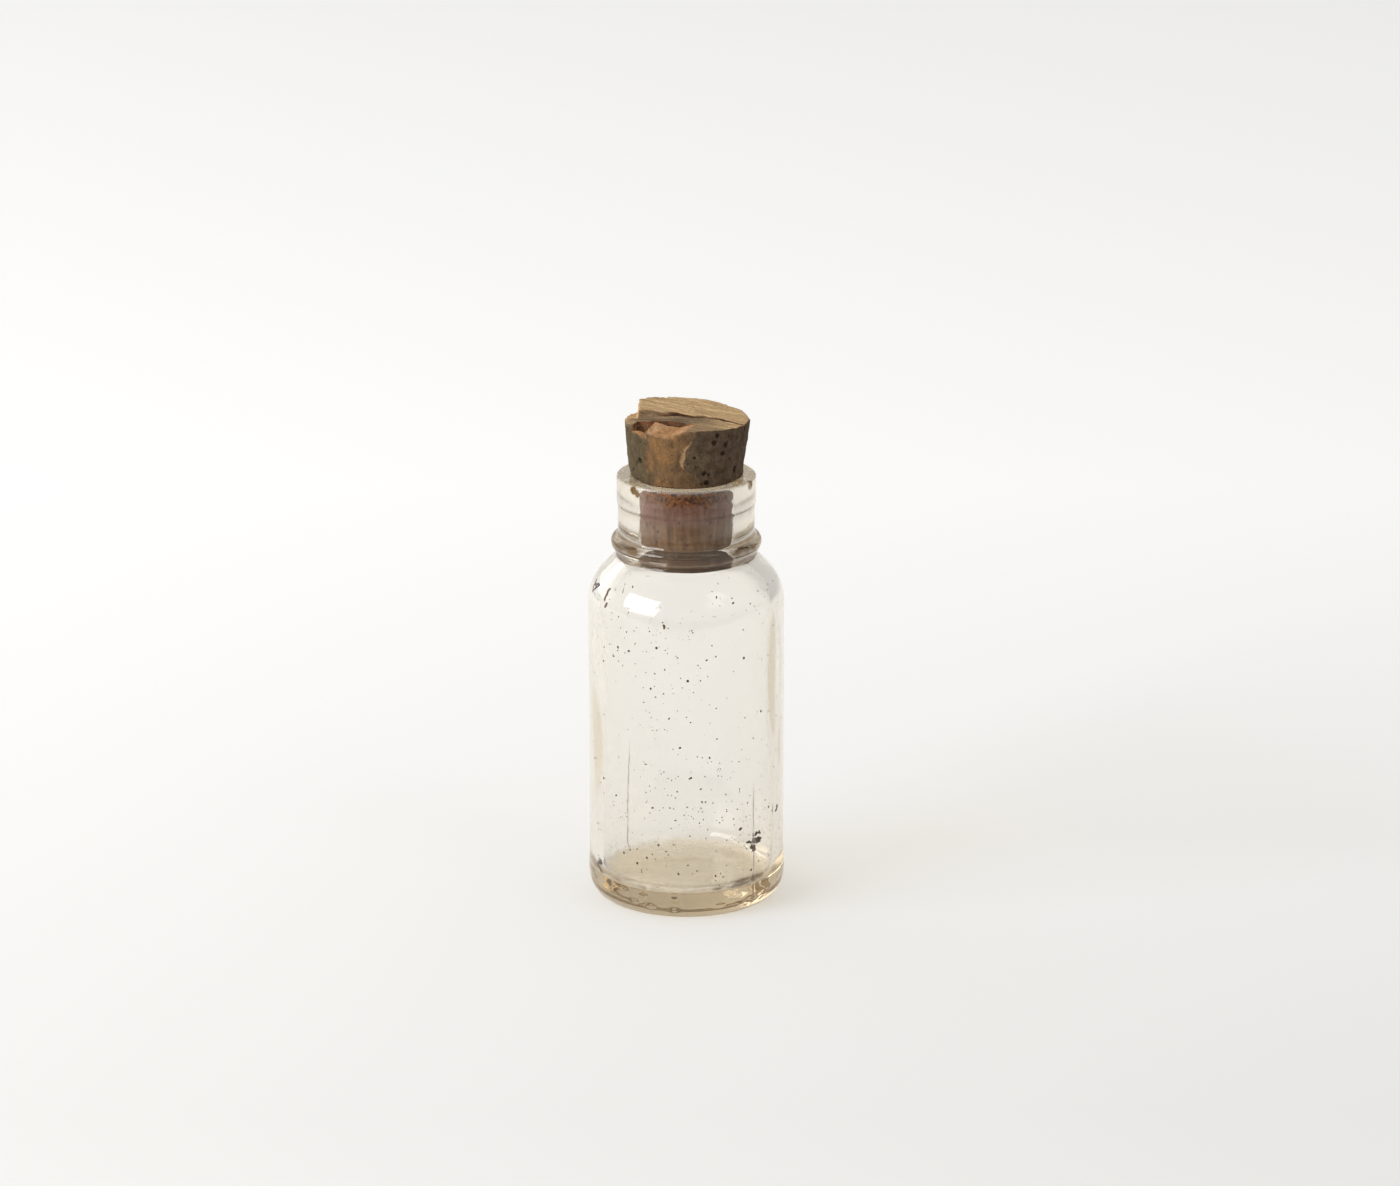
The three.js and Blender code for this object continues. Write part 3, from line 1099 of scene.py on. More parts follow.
    def outside(self) -> Profile:
        """Trace the outer surface from the middle of the foot up to the top of the rim."""
        foot = self.body_radius - self.heel_setback
        groove = self.collar_radius + self.groove_step
        lip = self.collar_radius + self.lip_step
        widest = self.bead_base + self.bead_rise
        reach = math.acos((groove + self.neck_cone_width - self.shoulder_centre) / self.shoulder_width)
        top = self.body_top + self.shoulder_height * math.sin(reach)
        brim = (lip - self.rim_round, self.rim - self.rim_round)
        over = math.degrees(math.acos(self.bead_fillet_width / self.bead_step))
        seat = widest + self.bead_fall * math.sin(math.radians(over))
        return [
            *Turning.arc((0, 0), foot - self.foot_width, self.push_up, 90, 0),
            *Turning.arc((foot, self.heel_height), self.heel_setback, self.heel_height, -90, 0),
            *Turning.arc(
                (self.shoulder_centre, self.body_top),
                self.shoulder_width,
                self.shoulder_height,
                0,
                math.degrees(reach),
            ),
            *Turning.cone((groove + self.neck_cone_width, top), self.cone_slope, groove, self.neck_fillet),
            *Turning.arc((groove, widest), self.bead_step - self.groove_step, self.bead_rise, -90, 0),
            *Turning.arc((self.collar_radius, widest), self.bead_step, self.bead_fall, 0, over),
            *Turning.arc(
                (self.collar_radius + self.bead_fillet_width, seat + self.bead_fillet_height),
                -self.bead_fillet_width,
                self.bead_fillet_height,
                -90,
                0,
            ),
            (self.collar_radius, self.collar_top),
            (lip, self.collar_top + self.ledge_height),
            *Turning.arc(brim, self.rim_round, self.rim_round, 0, 90),
        ]

    def inside(self, offset: float = 0.0) -> Profile:
        """Trace the inner surface from the rim down to the middle of the floor.

        Args:
            offset: Distance from the glass into the hollow.

        Returns:
            Points of radius and height.
        """
        bore = self.bore - offset
        rise = self.shoulder_height - self.shoulder_wall - offset
        width = self.inner_radius - self.bore
        start = math.atan(rise / (width * self.cone_slope))
        edge = (self.bore + (width - offset) * math.cos(start), self.body_top + rise * math.sin(start))
        corner = self.floor_corner - offset
        heel = (self.inner_radius - self.floor_corner, self.floor + self.floor_corner)
        mouth = (self.bore + self.mouth_flare, self.rim - self.mouth_depth)
        return [
            *Turning.arc(mouth, -self.mouth_flare - offset, self.mouth_depth, 90, 0),
            *Turning.cone(edge, self.cone_slope, bore, self.bore_fillet)[::-1],
            *Turning.arc((self.bore, self.body_top), width - offset, rise, math.degrees(start), 0),
            *Turning.arc(heel, corner, corner, 0, -90),
            (0, self.floor + offset),
        ]

    def inner_radius_at(self, height: np.ndarray) -> np.ndarray:
        """Radius of the inner surface from its floor up to the rim."""
        climb = np.clip((height - self.body_top) / (self.shoulder_height - self.shoulder_wall), 0, 1)
        sink = np.clip((self.floor + self.floor_corner - height) / self.floor_corner, 0, 1)
        flare = np.clip((height - self.rim + self.mouth_depth) / self.mouth_depth, 0, 1)
        over = (self.inner_radius - self.bore) * (1 - np.sqrt(1 - climb**2))
        under = self.floor_corner * (1 - np.sqrt(1 - sink**2))
        return self.inner_radius - over - under + self.mouth_flare * (1 - np.sqrt(1 - flare**2))

    def on_inner_wall(
        self, bearings: np.ndarray, heights: np.ndarray, inset: np.ndarray | float
    ) -> np.ndarray:
        """Find points on the uneven inner wall.

        Args:
            bearings: Bearing of each point in degrees.
            heights: Height of each point.
            inset: How far each point stands in from the glass.

        Returns:
            One row of coordinates for each point.
        """
        turned = np.radians(bearings)
        radius = self.inner_radius_at(heights)
        smooth = np.stack([radius * np.sin(turned), -radius * np.cos(turned), heights], axis=1)
        reach = radius * self.waves(smooth) - inset
        return np.stack([reach * np.sin(turned), -reach * np.cos(turned), heights], axis=1)

    def bearings(self) -> np.ndarray:
        """Bearings of the turned copies in radians, closer together at the mould seams."""
        evenly = np.arange(self.segments) * 360 / self.segments
        beside = np.linspace(-self.seam_finer_degrees, self.seam_finer_degrees, self.seam_copies)
        at_seams = np.concatenate([b + beside for b in self.seam_bearings])
        return np.radians(np.unique(np.round(np.concatenate([evenly, at_seams]) % 360, 3)))

    def spacing(self, radius: float, height: float) -> float:
        """Longest step of the profile: fine in the heel and the bore, whose surface is uneven."""
        if radius < self.bore + 1 and height > self.body_top:
            return self.bore_step
        low = self.heel_height + self.floor_corner
        in_heel = radius > self.inner_radius - self.floor_corner and height < low
        return self.fine_step if in_heel or height > self.rim - self.stained_lip else self.coarse_step

    def waves(self, points: np.ndarray) -> np.ndarray:
        """Unevenness of the inner surface, as the factor that each point's radius gains."""
        height = points[:, 2]
        in_body = fade(self.floor, self.floor + 2 * self.floor_corner, height)
        in_body *= fade(self.body_top + self.shoulder_height, self.body_top, height)
        relief = sum(wave.at(points) for wave in self.wall_waves) * in_body
        for swelling in self.swellings:
            relief = relief - swelling.depth * swelling.share(points)
        neck_foot = self.body_top + self.shoulder_height
        in_bore = fade(neck_foot - 1, neck_foot, height) * fade(self.rim, self.rim - self.mouth_depth, height)
        relief = relief + self.bore_ripple.at(points) * in_bore
        return 1 + relief / np.maximum(np.hypot(points[:, 0], points[:, 1]), 1.0)

    def seam_share(self, points: np.ndarray) -> np.ndarray:
        """How strongly a mould seam shows at each point of the outer surface, from 0 to 1."""
        height = points[:, 2]
        strength = fade(0, self.seam_low, height)
        strength = strength * fade(self.seam_high, self.seam_high * self.seam_full_share, height)
        total = np.zeros(len(points))
        for seam in self.seam_bearings:
            line = Mark(seam, 0, self.seam_half_width, math.inf, 1)
            total += line.share(points)
        return total * strength

    def ridges(self, points: np.ndarray) -> np.ndarray:
        """Waves, seams and dimples of the outer surface, as the factor that each radius gains."""
        radius = np.maximum(np.hypot(points[:, 0], points[:, 1]), 1.0)
        height = points[:, 2]
        upright = fade(0, self.heel_height, height) * fade(self.rim, self.rim - self.lip_height, height)
        over_heel = (height - self.heel_height - self.heel_swell_above) / self.heel_swell_tall
        relief = self.outer_wave.at(points) * upright + self.heel_swell * np.exp(-(over_heel**2))
        for dimple in self.dimples:
            relief = relief + dimple.depth * dimple.share(points)
        rough = self.chatter_relief.at(points)
        for mark in self.chatter:
            relief = relief + mark.depth * rough * mark.share(points)
        relief = relief + self.seam_height * self.seam_share(points)
        return 1 + relief / radius

    def residue_share(self, points: np.ndarray) -> np.ndarray:
        """How much dried residue covers each point inside, from 0 to 1: most towards the front."""
        to_front = fade(*self.residue_to_front, points[:, 1])
        highest = self.residue_back + (self.residue_front - self.residue_back) * to_front
        over_floor = points[:, 2] - self.floor + self.residue_edge.at(points)
        thinner = 1 - self.residue_thinner * fade(*self.residue_thins, points[:, 1])
        return fade(*self.residue_fade, over_floor / highest) * thinner

    def stained(self, points: np.ndarray) -> np.ndarray:
        """How brown the residue is at each point, from 0 to 1."""
        broken = fade(*self.stain_span, sum(part.at(points) for part in self.stain_breaks))
        return np.clip(sum(stain.depth * stain.share(points) for stain in self.floor_stains) * broken, 0, 1)

    def build(self, finish: BlownGlass) -> bpy.types.Object:
        """Build the bottle.

        Args:
            finish: The glass that it is made of.

        Returns:
            One closed mesh with its outer and inner surface and the masks of its finish.
        """
        profile = Turning.soften(
            self.outside() + self.inside(), self.corner_round, self.spacing, self.turn_step_degrees
        )
        bearings = self.bearings()
        points, faces = Turning.surface(profile, bearings)
        top_row = 2 + (int(profile[:, 1].argmax()) - 1) * len(bearings)
        outside = np.arange(len(points)) < top_row
        outside[1] = False
        points[~outside, :2] *= self.waves(points[~outside])[:, None]
        points[outside, :2] *= self.ridges(points[outside])[:, None]
        piece = mesh_piece("glass_bottle_blown", points, faces, finish.build())
        frost = fade(*self.rim_scuff_under, self.rim - points[:, 2])
        # Outside: grime on the seams, partly a painted dark line; a darker band along the ledge; painted
        # shade in the groove and creases round the bead, darker towards its sides; stains on the lip. Inside:
        # the floor's brown stains
        grime_and_shade = self.seam_grime * self.seam_share(points)
        aside = fade(*self.bead_shade_from, np.degrees(np.abs(np.arctan2(points[:, 0], -points[:, 1]))))
        on_bead = self.bead_shade_front + (self.bead_shade - self.bead_shade_front) * aside
        for height, tall, strength in (
            (self.collar_top + self.ledge_height / 2, self.ledge_height, self.ledge_darkening),
            *((self.bead_base + over, tall, share * on_bead) for over, tall, share in self.bead_rings),
        ):
            grime_and_shade = np.maximum(grime_and_shade, strength * np.exp(-(((points[:, 2] - height) / tall) ** 2)))
        for stain in self.lip_stains:
            grime_and_shade = np.maximum(grime_and_shade, stain.depth * fade(*self.lip_stain_span, stain.share(points)))
        grime_and_shade = np.where(outside, grime_and_shade, self.stained(points))
        residue = np.where(outside, 0, self.residue_share(points))
        write_masks(piece, {GlassMask.FROST: frost, GlassMask.GRIME_AND_SHADE: grime_and_shade, GlassMask.RESIDUE: residue})
        return piece


@dataclass(frozen=True)
class Pore:
    """A small hole in the cork's side."""

    bearing: float
    height: float
    radius: float
    tall: float = 1.0


@dataclass(frozen=True)
class CorkColourEnds:
    """Where the cork's colours end, in millimetres or degrees, each pair from none to full."""

    top_skin: Span = (0.75, 0.4)
    top_edge: Span = (0.12, 0.34)
    level: Span = (0.25, 0.7)
    chip_end: Span = (0.0, -1.2)
    fresh_edge: Span = (0.1, 0.3)
    fresh_skin: Span = (0.8, 0.5)
    hollow_edge: Span = (0.3, 0.6)
    # Where the reddish steep risers end, partly painted shade
    riser_back: Span = (0.7, 0.2)
    # Painted shade deep in the cavity and the splits, along the lines drawn on them and in the pores
    cavity_deep: Span = (2.3, 3.1)
    cavity_dark: float = 0.6
    split_wall: Span = (0.15, 0.0)
    split_mouth: Span = (0.05, 0.3)
    split_deep: Span = (0.3, 0.8)
    line_steady: float = 0.75
    line_relief: Relief = Relief(0.25, (1.4, 1.4, 6.0), 88)
    line_dark: float = 0.72
    line_edge: Span = (0.2, 0.5)
    back_line: Span = (0.36, 0.14)
    back_line_inset: float = 0.1
    back_line_start: Span = (6.5, 9.0)
    front_line: Span = (0.34, 0.16)
    front_line_inset: float = 0.05
    front_line_start: Span = (5.4, 6.6)
    front_line_stop: Span = (15.0, 12.0)
    pore_wall: Span = (0.08, -0.1)
    grey_right: Span = (20.0, 13.0)
    grey_left: Span = (0.2, 3.0)
    grey_front: float = 0.65
    neck: Span = (-0.4, -1.4)
    neck_relief: Relief = Relief(0.4, 1.0, 83)
    neck_low: Span = (-6.0, -7.4)
    neck_low_relief: Relief = Relief(0.5, 1.6, 85)
    fringe_foot: Span = (-3.6, -2.9)
    fringe_head: Span = (0.2, -0.4)
    fringe_relief: Relief = Relief(0.9, (0.6, 0.6, 1.0), 84)
    foot_relief: Relief = Relief(0.3, 0.8, 87)
    bearing_reliefs: tuple[Relief, ...] = (Relief(11.0, (2.5, 2.5, 3.0), 81), Relief(10.0, 0.8, 82))
    ochre_left: Span = (-48.0, -28.0)
    ochre_right: Span = (2.0, -18.0)
    lichen_left: Span = (-100.0, -85.0)
    lichen_right: Span = (-26.0, -44.0)
    lichen_most: float = 0.9
    flake_relief: Relief = Relief(0.8, 0.45, 86)
    flake_ramp: float = 0.2
    flake_edge: Span = (0.1, -0.1)
    flake_least: float = 0.05


@dataclass
class CorkStopper:
    """The tapered cork, shaped as a field of distances so that splits and chips are real hollows."""

    rim: float
    depth: float = 15.35
    above: float = 10.3
    taper: float = 0.13
    waist: float = 9.3
    shaft: float = 7.72
    pinch_across: float = 1.85
    pinch_up: float = 1.7
    mouth_radius: float = 9.6
    mouth_depth: float = 1.4
    lean_start: float = -0.22
    lean_per_mm: float = 0.03
    lean_span: Span = (-0.2, 1.5)
    top_slope: float = 4.7
    top_nod: float = 0.3
    back_split_along: tuple[float, ...] = (2.5, 6.0, 10.0, 14.0, 17.0, 20.0)
    back_split_across: tuple[float, ...] = (-2.0, -1.1, -0.4, 0.1, 0.1, -0.5)
    front_split: float = -4.7
    split_depth: float = 1.3
    split_foot_share: float = 0.15
    split_inset: float = 0.2
    split_steady: float = 0.7
    front_gape: float = 0.75
    front_gape_spans: tuple[Span, ...] = ((5.6, 6.6), (15.0, 10.5))
    front_gape_relief: Relief = Relief(0.3, (2.2, 9.0, 9.0), 74)
    back_gapes: tuple[tuple[float, Span], ...] = ((0.36, (5.0, 7.5)), (0.4, (10.5, 15.0)))
    back_gape_relief: Relief = Relief(0.3, (1.8, 9.0, 9.0), 75)
    across_reliefs: tuple[Relief, ...] = (Relief(0.26, (3.5, 3.5, 6.0), 31), Relief(0.1, 0.9, 32))
    along_reliefs: tuple[Relief, ...] = (Relief(0.3, 1.6, 33), Relief(0.12, 0.6, 34))
    fibre_reliefs: tuple[Relief, ...] = (Relief(0.1, (3.0, 0.36, 2.0), 72), Relief(0.15, (6.0, 1.0, 3.0), 73))
    pit_relief: Relief = Relief(0.05, 0.5, 78)
    facet_reliefs: tuple[Relief, ...] = (Relief(0.22, 1.5, 76), Relief(0.16, 0.6, 77))
    step_width: float = 0.1
    bevel_width: float = 0.8
    middle_drop: float = 0.42
    middle_span: Span = (15.0, 11.5)
    worn_depth: float = 1.7
    worn_length: float = 9.5
    worn_curve: float = 1.3
    broken_depth: float = 2.0
    broken_length: float = 1.9
    broken_turn: float = 0.33
    chip_inset: float = 3.9
    chip_end: float = 14.6
    facet_inset: float = 7.0
    facet_depth: float = 0.95
    facet_fall: float = 0.4
    facet_run: float = 4.5
    facet_end_run: float = 3.3
    facet_least: float = 0.05
    crumbled_run: float = 2.0
    lip_depth: float = 2.3
    cavity_depth: float = 3.3
    cavity_width: float = 2.5
    bark_thickness: float = 0.24
    bark_reliefs: tuple[Relief, ...] = (Relief(0.26, 1.1, 41), Relief(0.14, 0.4, 42))
    bark_step: Span = (-0.08, 0.12)
    bark_round_back: Span = (1.0, -0.5)
    side_reliefs: tuple[Relief, ...] = (Relief(0.035, 0.45, 51), Relief(0.07, 1.4, 52), Relief(0.1, 6.0, 53))
    side_grooves: Relief = Relief(0.05, (0.7, 0.7, 6.0), 54)
    held_relief: float = 0.45
    held_edge: float = 0.6
    foot_relief: Relief = Relief(0.1, 1.5, 71)
    voxel: float = 0.166
    band: float = 0.9
    margin: float = 1.0
    top_margin: float = 2.2
    crown_reach: float = 6.0
    pores: tuple[Pore, ...] = (
        Pore(29.0, 82.6, 0.36, 1.3),
        Pore(26.5, 81.4, 0.44),
        Pore(40.0, 80.8, 0.38, 1.4),
        Pore(37.3, 79.3, 0.44),
        Pore(18.9, 76.2, 0.4),
        Pore(23.5, 75.9, 0.24),
        Pore(21.6, 74.4, 0.46),
        Pore(17.0, 74.2, 0.3),
        Pore(57.8, 75.8, 0.36, 1.5),
        Pore(71.0, 79.6, 0.3),
        Pore(-51.2, 77.5, 0.6, 0.8),
        Pore(-56.0, 77.0, 0.32),
        Pore(-66.0, 75.4, 0.32),
        Pore(-60.0, 73.9, 0.3),
        Pore(8.0, 79.0, 0.24),
        Pore(-30.0, 76.2, 0.2),
        Pore(-86.0, 81.3, 0.4, 1.2),
        Pore(-72.0, 82.0, 0.4, 1.6),
        Pore(-80.0, 80.0, 0.3),
        Pore(95.0, 78.0, 0.4),
        Pore(118.0, 81.0, 0.35, 1.5),
        Pore(141.0, 76.0, 0.45),
        Pore(163.0, 79.5, 0.3),
        Pore(187.0, 81.5, 0.38, 1.4),
        Pore(204.0, 77.0, 0.3),
        Pore(222.0, 79.0, 0.5, 0.8),
        Pore(248.0, 76.0, 0.34),
        Pore(262.0, 81.0, 0.3, 1.6),
    )
    random_pores: int = 170
    random_pore_radii: Span = (0.09, 0.22)
    random_pore_tall: float = 1.2
    pore_seed: int = 61
    pore_relief: Relief = Relief(0.1, 0.35, 62)
    rusty_patch: Mark = Mark(-27.0, 74.8, 1.3, 1.0, 1.0)
    flake_height: float = 79.3
    flake_reach: float = 2.7
    flake_width: float = 0.75
    foot_top: float = 61.8
    colour_ends: CorkColourEnds = CorkColourEnds()
    bark_edge_heights: tuple[float, ...] = (72.5, 74.0, 76.0, 77.2, 78.6, 79.8, 81.2, 82.7, 84.5)
    bark_edge_places: tuple[float, ...] = (3.4, 2.6, 1.5, -0.45, -0.2, 0.05, 0.45, 1.15, 1.5)

    @property
    def top(self) -> float:
        """Height of the top face on the axis."""
        return self.rim + self.above

    @property
    def top_radius(self) -> float:
        """Radius of the top face."""
        return self.waist + self.taper * self.above

    def upright(self, points: np.ndarray) -> np.ndarray:
        """Move points from the cork as it leans over the rim to the cork as it was cut."""
        height = points[:, 2] - self.rim
        most = self.lean_start + self.lean_per_mm * np.maximum(height, 0)
        lean = fade(*self.lean_span, height) * most
        moved = points.copy()
        moved[:, 0] -= lean
        return moved

    def radius_at(self, height: np.ndarray) -> np.ndarray:
        """Radius of the sound plug at each height."""
        mouth_foot = self.rim - self.mouth_depth
        free = self.waist + self.taper * (height - self.rim)
        climb = np.clip((height - mouth_foot) / self.pinch_up, 0, 1)
        pinched = self.mouth_radius - self.pinch_across * np.sqrt(1 - climb**2)
        squeezed = np.where(height > mouth_foot, np.maximum(pinched, self.shaft), self.shaft)
        return np.where(height > self.rim, free, np.minimum(free, squeezed))

    def layer_frame(self, points: np.ndarray) -> tuple[np.ndarray, np.ndarray, np.ndarray]:
        """Place points in the frame of the growth layers, with ragged edges.

        Args:
            points: One row of coordinates for each point.

        Returns:
            Distance along the layers from their left end, distance across them towards the back,
            and height above the flat top.
        """
        turn = math.radians(LAYER_DEGREES)
        x, y, z = points.T
        along = x * math.cos(turn) + y * math.sin(turn) + self.top_radius
        across = y * math.cos(turn) - x * math.sin(turn)
        across = across + sum(relief.at(points) for relief in self.across_reliefs)
        along = along + sum(relief.at(points) for relief in self.along_reliefs)
        fall = x * math.tan(math.radians(self.top_slope)) + y * math.tan(math.radians(self.top_nod))
        return along, across, z - self.top + fall

    def step(self, edge: float, value: np.ndarray) -> np.ndarray:
        """Rise from 0 to 1 over the width of a broken edge."""
        return fade(edge - self.step_width, edge + self.step_width, value)

    def behind_split(self, along: np.ndarray, across: np.ndarray) -> np.ndarray:
        """How far each point lies behind the back split, which bends with the layers."""
        return across - np.interp(along, self.back_split_along, self.back_split_across)

    def chipped(self, along: np.ndarray, across: np.ndarray) -> np.ndarray:
        """Depth of the broken face and of the cavity in front of the front split."""
        outward = np.clip((self.front_split - across) / self.facet_run, 0, 1)
        facet = self.facet_depth + self.facet_fall * outward
        facet = facet * fade(self.chip_end, self.chip_end - self.facet_end_run, along)
        in_cavity = self.step(self.front_split - self.cavity_width, across)
        hollow = self.lip_depth + (self.cavity_depth - self.lip_depth) * in_cavity
        on_facet = self.step(self.facet_inset, along)
        return hollow + (np.maximum(facet, self.facet_least) - hollow) * on_facet

    def crown_depth(self, along: np.ndarray, across: np.ndarray) -> np.ndarray:
        """How deep the weathered top lies under the flat one, slab by slab."""
        to_end = np.clip(1 - along / self.worn_length, 0, 1)
        middle = self.worn_depth * to_end**self.worn_curve + self.middle_drop * fade(*self.middle_span, along)
        front = middle + (self.chipped(along, across) - middle) * self.step(self.chip_inset, along)
        back = self.broken_depth * (1 - self.step(self.broken_length, along + self.broken_turn * across))
        forward = front + (middle - front) * self.step(self.front_split, across)
        bevel = self.step_width + self.bevel_width * to_end
        return forward + (back - forward) * fade(-bevel, self.step_width, self.behind_split(along, across))

    def splits(
        self, points: np.ndarray, along: np.ndarray, across: np.ndarray, under: np.ndarray
    ) -> np.ndarray:
        """Distance from the two open splits, negative inside them.

        Args:
            points: One row of coordinates for each point.
            along: Distance along the layers.
            across: Distance across them.
            under: Depth under the weathered top.

        Returns:
            Millimetres for each point.
        """
        narrowing = np.clip(1 - under / self.split_depth, self.split_foot_share, 1)
        front_open = self.front_gape * math.prod(fade(*span, along) for span in self.front_gape_spans)
        front_open = front_open * (self.split_steady + self.front_gape_relief.at(points))
        back_open = sum(gape * fade(*span, along) for gape, span in self.back_gapes)
        back_open = back_open * (self.split_steady + self.back_gape_relief.at(points))
        front = np.abs(across - self.front_split + self.split_inset) - front_open * narrowing / 2
        back = np.abs(self.behind_split(along, across) + self.split_inset) - back_open * narrowing / 2
        return np.maximum(np.minimum(front, back), under - self.split_depth)

    def crown(self, points: np.ndarray) -> np.ndarray:
        """Height of points over the weathered top, with its fibres and splits."""
        along, across, above = self.layer_frame(points)
        turn = math.radians(LAYER_DEGREES)
        straight = np.stack(
            [
                points[:, 0] * math.cos(turn) + points[:, 1] * math.sin(turn),
                points[:, 1] * math.cos(turn) - points[:, 0] * math.sin(turn),
                points[:, 2],
            ],
            axis=1,
        )
        fibres = sum(relief.at(straight) for relief in self.fibre_reliefs)
        facets = sum(relief.at(points) for relief in self.facet_reliefs)
        surface = above + self.crown_depth(along, across)
        chipped = self.step(self.chip_inset, along) * (1 - self.step(self.front_split, across))
        crumbled = chipped * fade(self.chip_end, self.chip_end - self.crumbled_run, along)
        surface = surface + fibres * (1 - crumbled) + self.pit_relief.at(points) + facets * crumbled
        return np.maximum(surface, -self.splits(points, along, across, -surface))

    def bark_edge(self, points: np.ndarray) -> np.ndarray:
        """How far each point lies to the right of the ragged left edge of the dark outer layer."""
        edge = np.interp(points[:, 2], self.bark_edge_heights, self.bark_edge_places)
        return points[:, 0] - edge + sum(relief.at(points) for relief in self.bark_reliefs)

    def bark(self, points: np.ndarray) -> np.ndarray:
        """Where the dark outer layer is left, from 0 to 1."""
        return fade(*self.bark_step, self.bark_edge(points)) * fade(*self.bark_round_back, points[:, 1])

    def side_relief(self, points: np.ndarray) -> np.ndarray:
        """Height of the cork's side over the sound plug."""
        relief = sum(part.at(points) for part in (*self.side_reliefs, self.side_grooves))
        free = fade(-self.held_edge, self.held_edge, points[:, 2] - self.rim)
        bark = self.bark_thickness * (self.bark(points) - 0.5)
        return relief * (self.held_relief + (1 - self.held_relief) * free) + bark * free

    def pore_field(self, points: np.ndarray) -> np.ndarray:
        """Distance of each point from the nearest pore's wall, negative inside it."""
        rng = np.random.default_rng(self.pore_seed)
        bearings = rng.uniform(-180, 180, self.random_pores)
        heights = rng.uniform(self.rim - self.depth, self.top, self.random_pores)
        radii = rng.uniform(*self.random_pore_radii, self.random_pores)
        scattered = [Pore(b, h, r, self.random_pore_tall) for b, h, r in zip(bearings, heights, radii)]
        nearest = np.full(len(points), self.band)
        wobble = self.pore_relief.at(points)
        for pore in (*self.pores, *scattered):
            bearing = math.radians(pore.bearing)
            reach = float(self.radius_at(np.array([pore.height]))[0])
            centre = (reach * math.sin(bearing), -reach * math.cos(bearing), pore.height)
            offset = (points - centre) / (1, 1, pore.tall)
            near = (np.abs(offset) < 1.0).all(axis=1)
            away = np.linalg.norm(offset[near], axis=1) - pore.radius
            nearest[near] = np.minimum(nearest[near], away + wobble[near])
        return nearest

    def distance(self, points: np.ndarray) -> np.ndarray:
        """Signed distance of points from the weathered cork's surface.

        Args:
            points: One row of coordinates for each point.

        Returns:
            Millimetres, negative inside the cork.
        """
        own = self.upright(points)
        side = np.hypot(own[:, 0], own[:, 1]) - self.radius_at(own[:, 2]) - self.side_relief(own)
        foot = self.rim - self.depth - own[:, 2] + self.foot_relief.at(own)
        solid = np.maximum(side, foot)
        high = own[:, 2] > self.top - self.crown_reach
        solid[high] = np.maximum(solid[high], self.crown(own[high]))
        return np.maximum(solid, -self.pore_field(own))

    def mark(self, points: np.ndarray, normals: np.ndarray) -> dict[CorkMask, np.ndarray]:
        """Say where each kind of surface lies on the finished cork.

        Args:
            points: The mesh's vertices.
            normals: Their normals.

        Returns:
            A value from 0 to 1 for each vertex, for each mask.
        """
        own = self.upright(points)
        along, across, above = self.layer_frame(own)
        height = own[:, 2]
        inset = self.radius_at(height) - np.hypot(own[:, 0], own[:, 1])
        under = -above - self.crown_depth(along, across)
        ends = self.colour_ends
        high = fade(0, 1, height - self.top + self.crown_reach)
        near_top = fade(*ends.top_skin, under) * high
        cut_top = near_top * fade(*ends.top_edge, inset)
        level = fade(*ends.level, normals[:, 2])
        in_front = 1 - self.step(self.front_split, across)
        behind = self.behind_split(along, across)
        between = (1 - self.step(0, behind)) * (1 - in_front)
        chipped = self.step(self.chip_inset, along) * in_front * fade(*ends.chip_end, along - self.chip_end)
        # Dark lines drawn along the two splits: painted shade at the cracks
        patchy = ends.line_steady + ends.line_relief.at(own)
        back_line = fade(*ends.back_line, np.abs(behind + ends.back_line_inset))
        back_line = back_line * fade(*ends.back_line_start, along) * patchy
        front_line = fade(*ends.front_line, np.abs(across - self.front_split - ends.front_line_inset))
        front_line = front_line * fade(*ends.front_line_start, along)
        front_line = front_line * fade(*ends.front_line_stop, along) * patchy
        drawn = np.maximum(back_line, front_line) * near_top * fade(*ends.line_edge, inset)
        split = self.splits(own, along, across, under)
        in_split = fade(*ends.split_wall, split) * fade(*ends.split_mouth, under)
        opened = np.maximum(in_split * high, drawn)
        fresh = chipped * fade(*ends.fresh_edge, inset) * fade(*ends.fresh_skin, under) * high * (1 - opened)
        cavity = chipped * (1 - self.step(self.facet_inset, along))
        cavity = cavity * self.step(self.front_split - self.cavity_width, across)
        cavity = cavity * fade(*ends.hollow_edge, inset) * high
        # Steep risers near the top take the reddish colour, partly as painted shade
        riser = (1 - level) * fade(*ends.hollow_edge, inset) * high * (1 - fresh)
        riser = riser * fade(*ends.riser_back, across - self.front_split)
        # Painted shade, darker deeper in the cavity and the splits, along the drawn lines and in the pores
        cavity_shade = ends.cavity_dark * fade(*ends.cavity_deep, -above) * cavity
        hollow = np.maximum(cavity_shade, opened * fade(*ends.split_deep, under))
        pores = fade(*ends.pore_wall, self.pore_field(own))
        grey = between * fade(*ends.grey_right, along) * fade(*ends.grey_left, along)
        return {
            CorkMask.CUT_TOP: cut_top,
            CorkMask.GREY: np.maximum(grey, ends.grey_front * in_front),
            CorkMask.FRESH: fresh,
            CorkMask.RUST_AND_SHADE: np.maximum(np.maximum(np.maximum(cavity, riser), opened), 0),
            CorkMask.RECESS_SHADE: np.maximum(np.maximum(pores, hollow), ends.line_dark * drawn),
            **self.mark_side(own),
        }

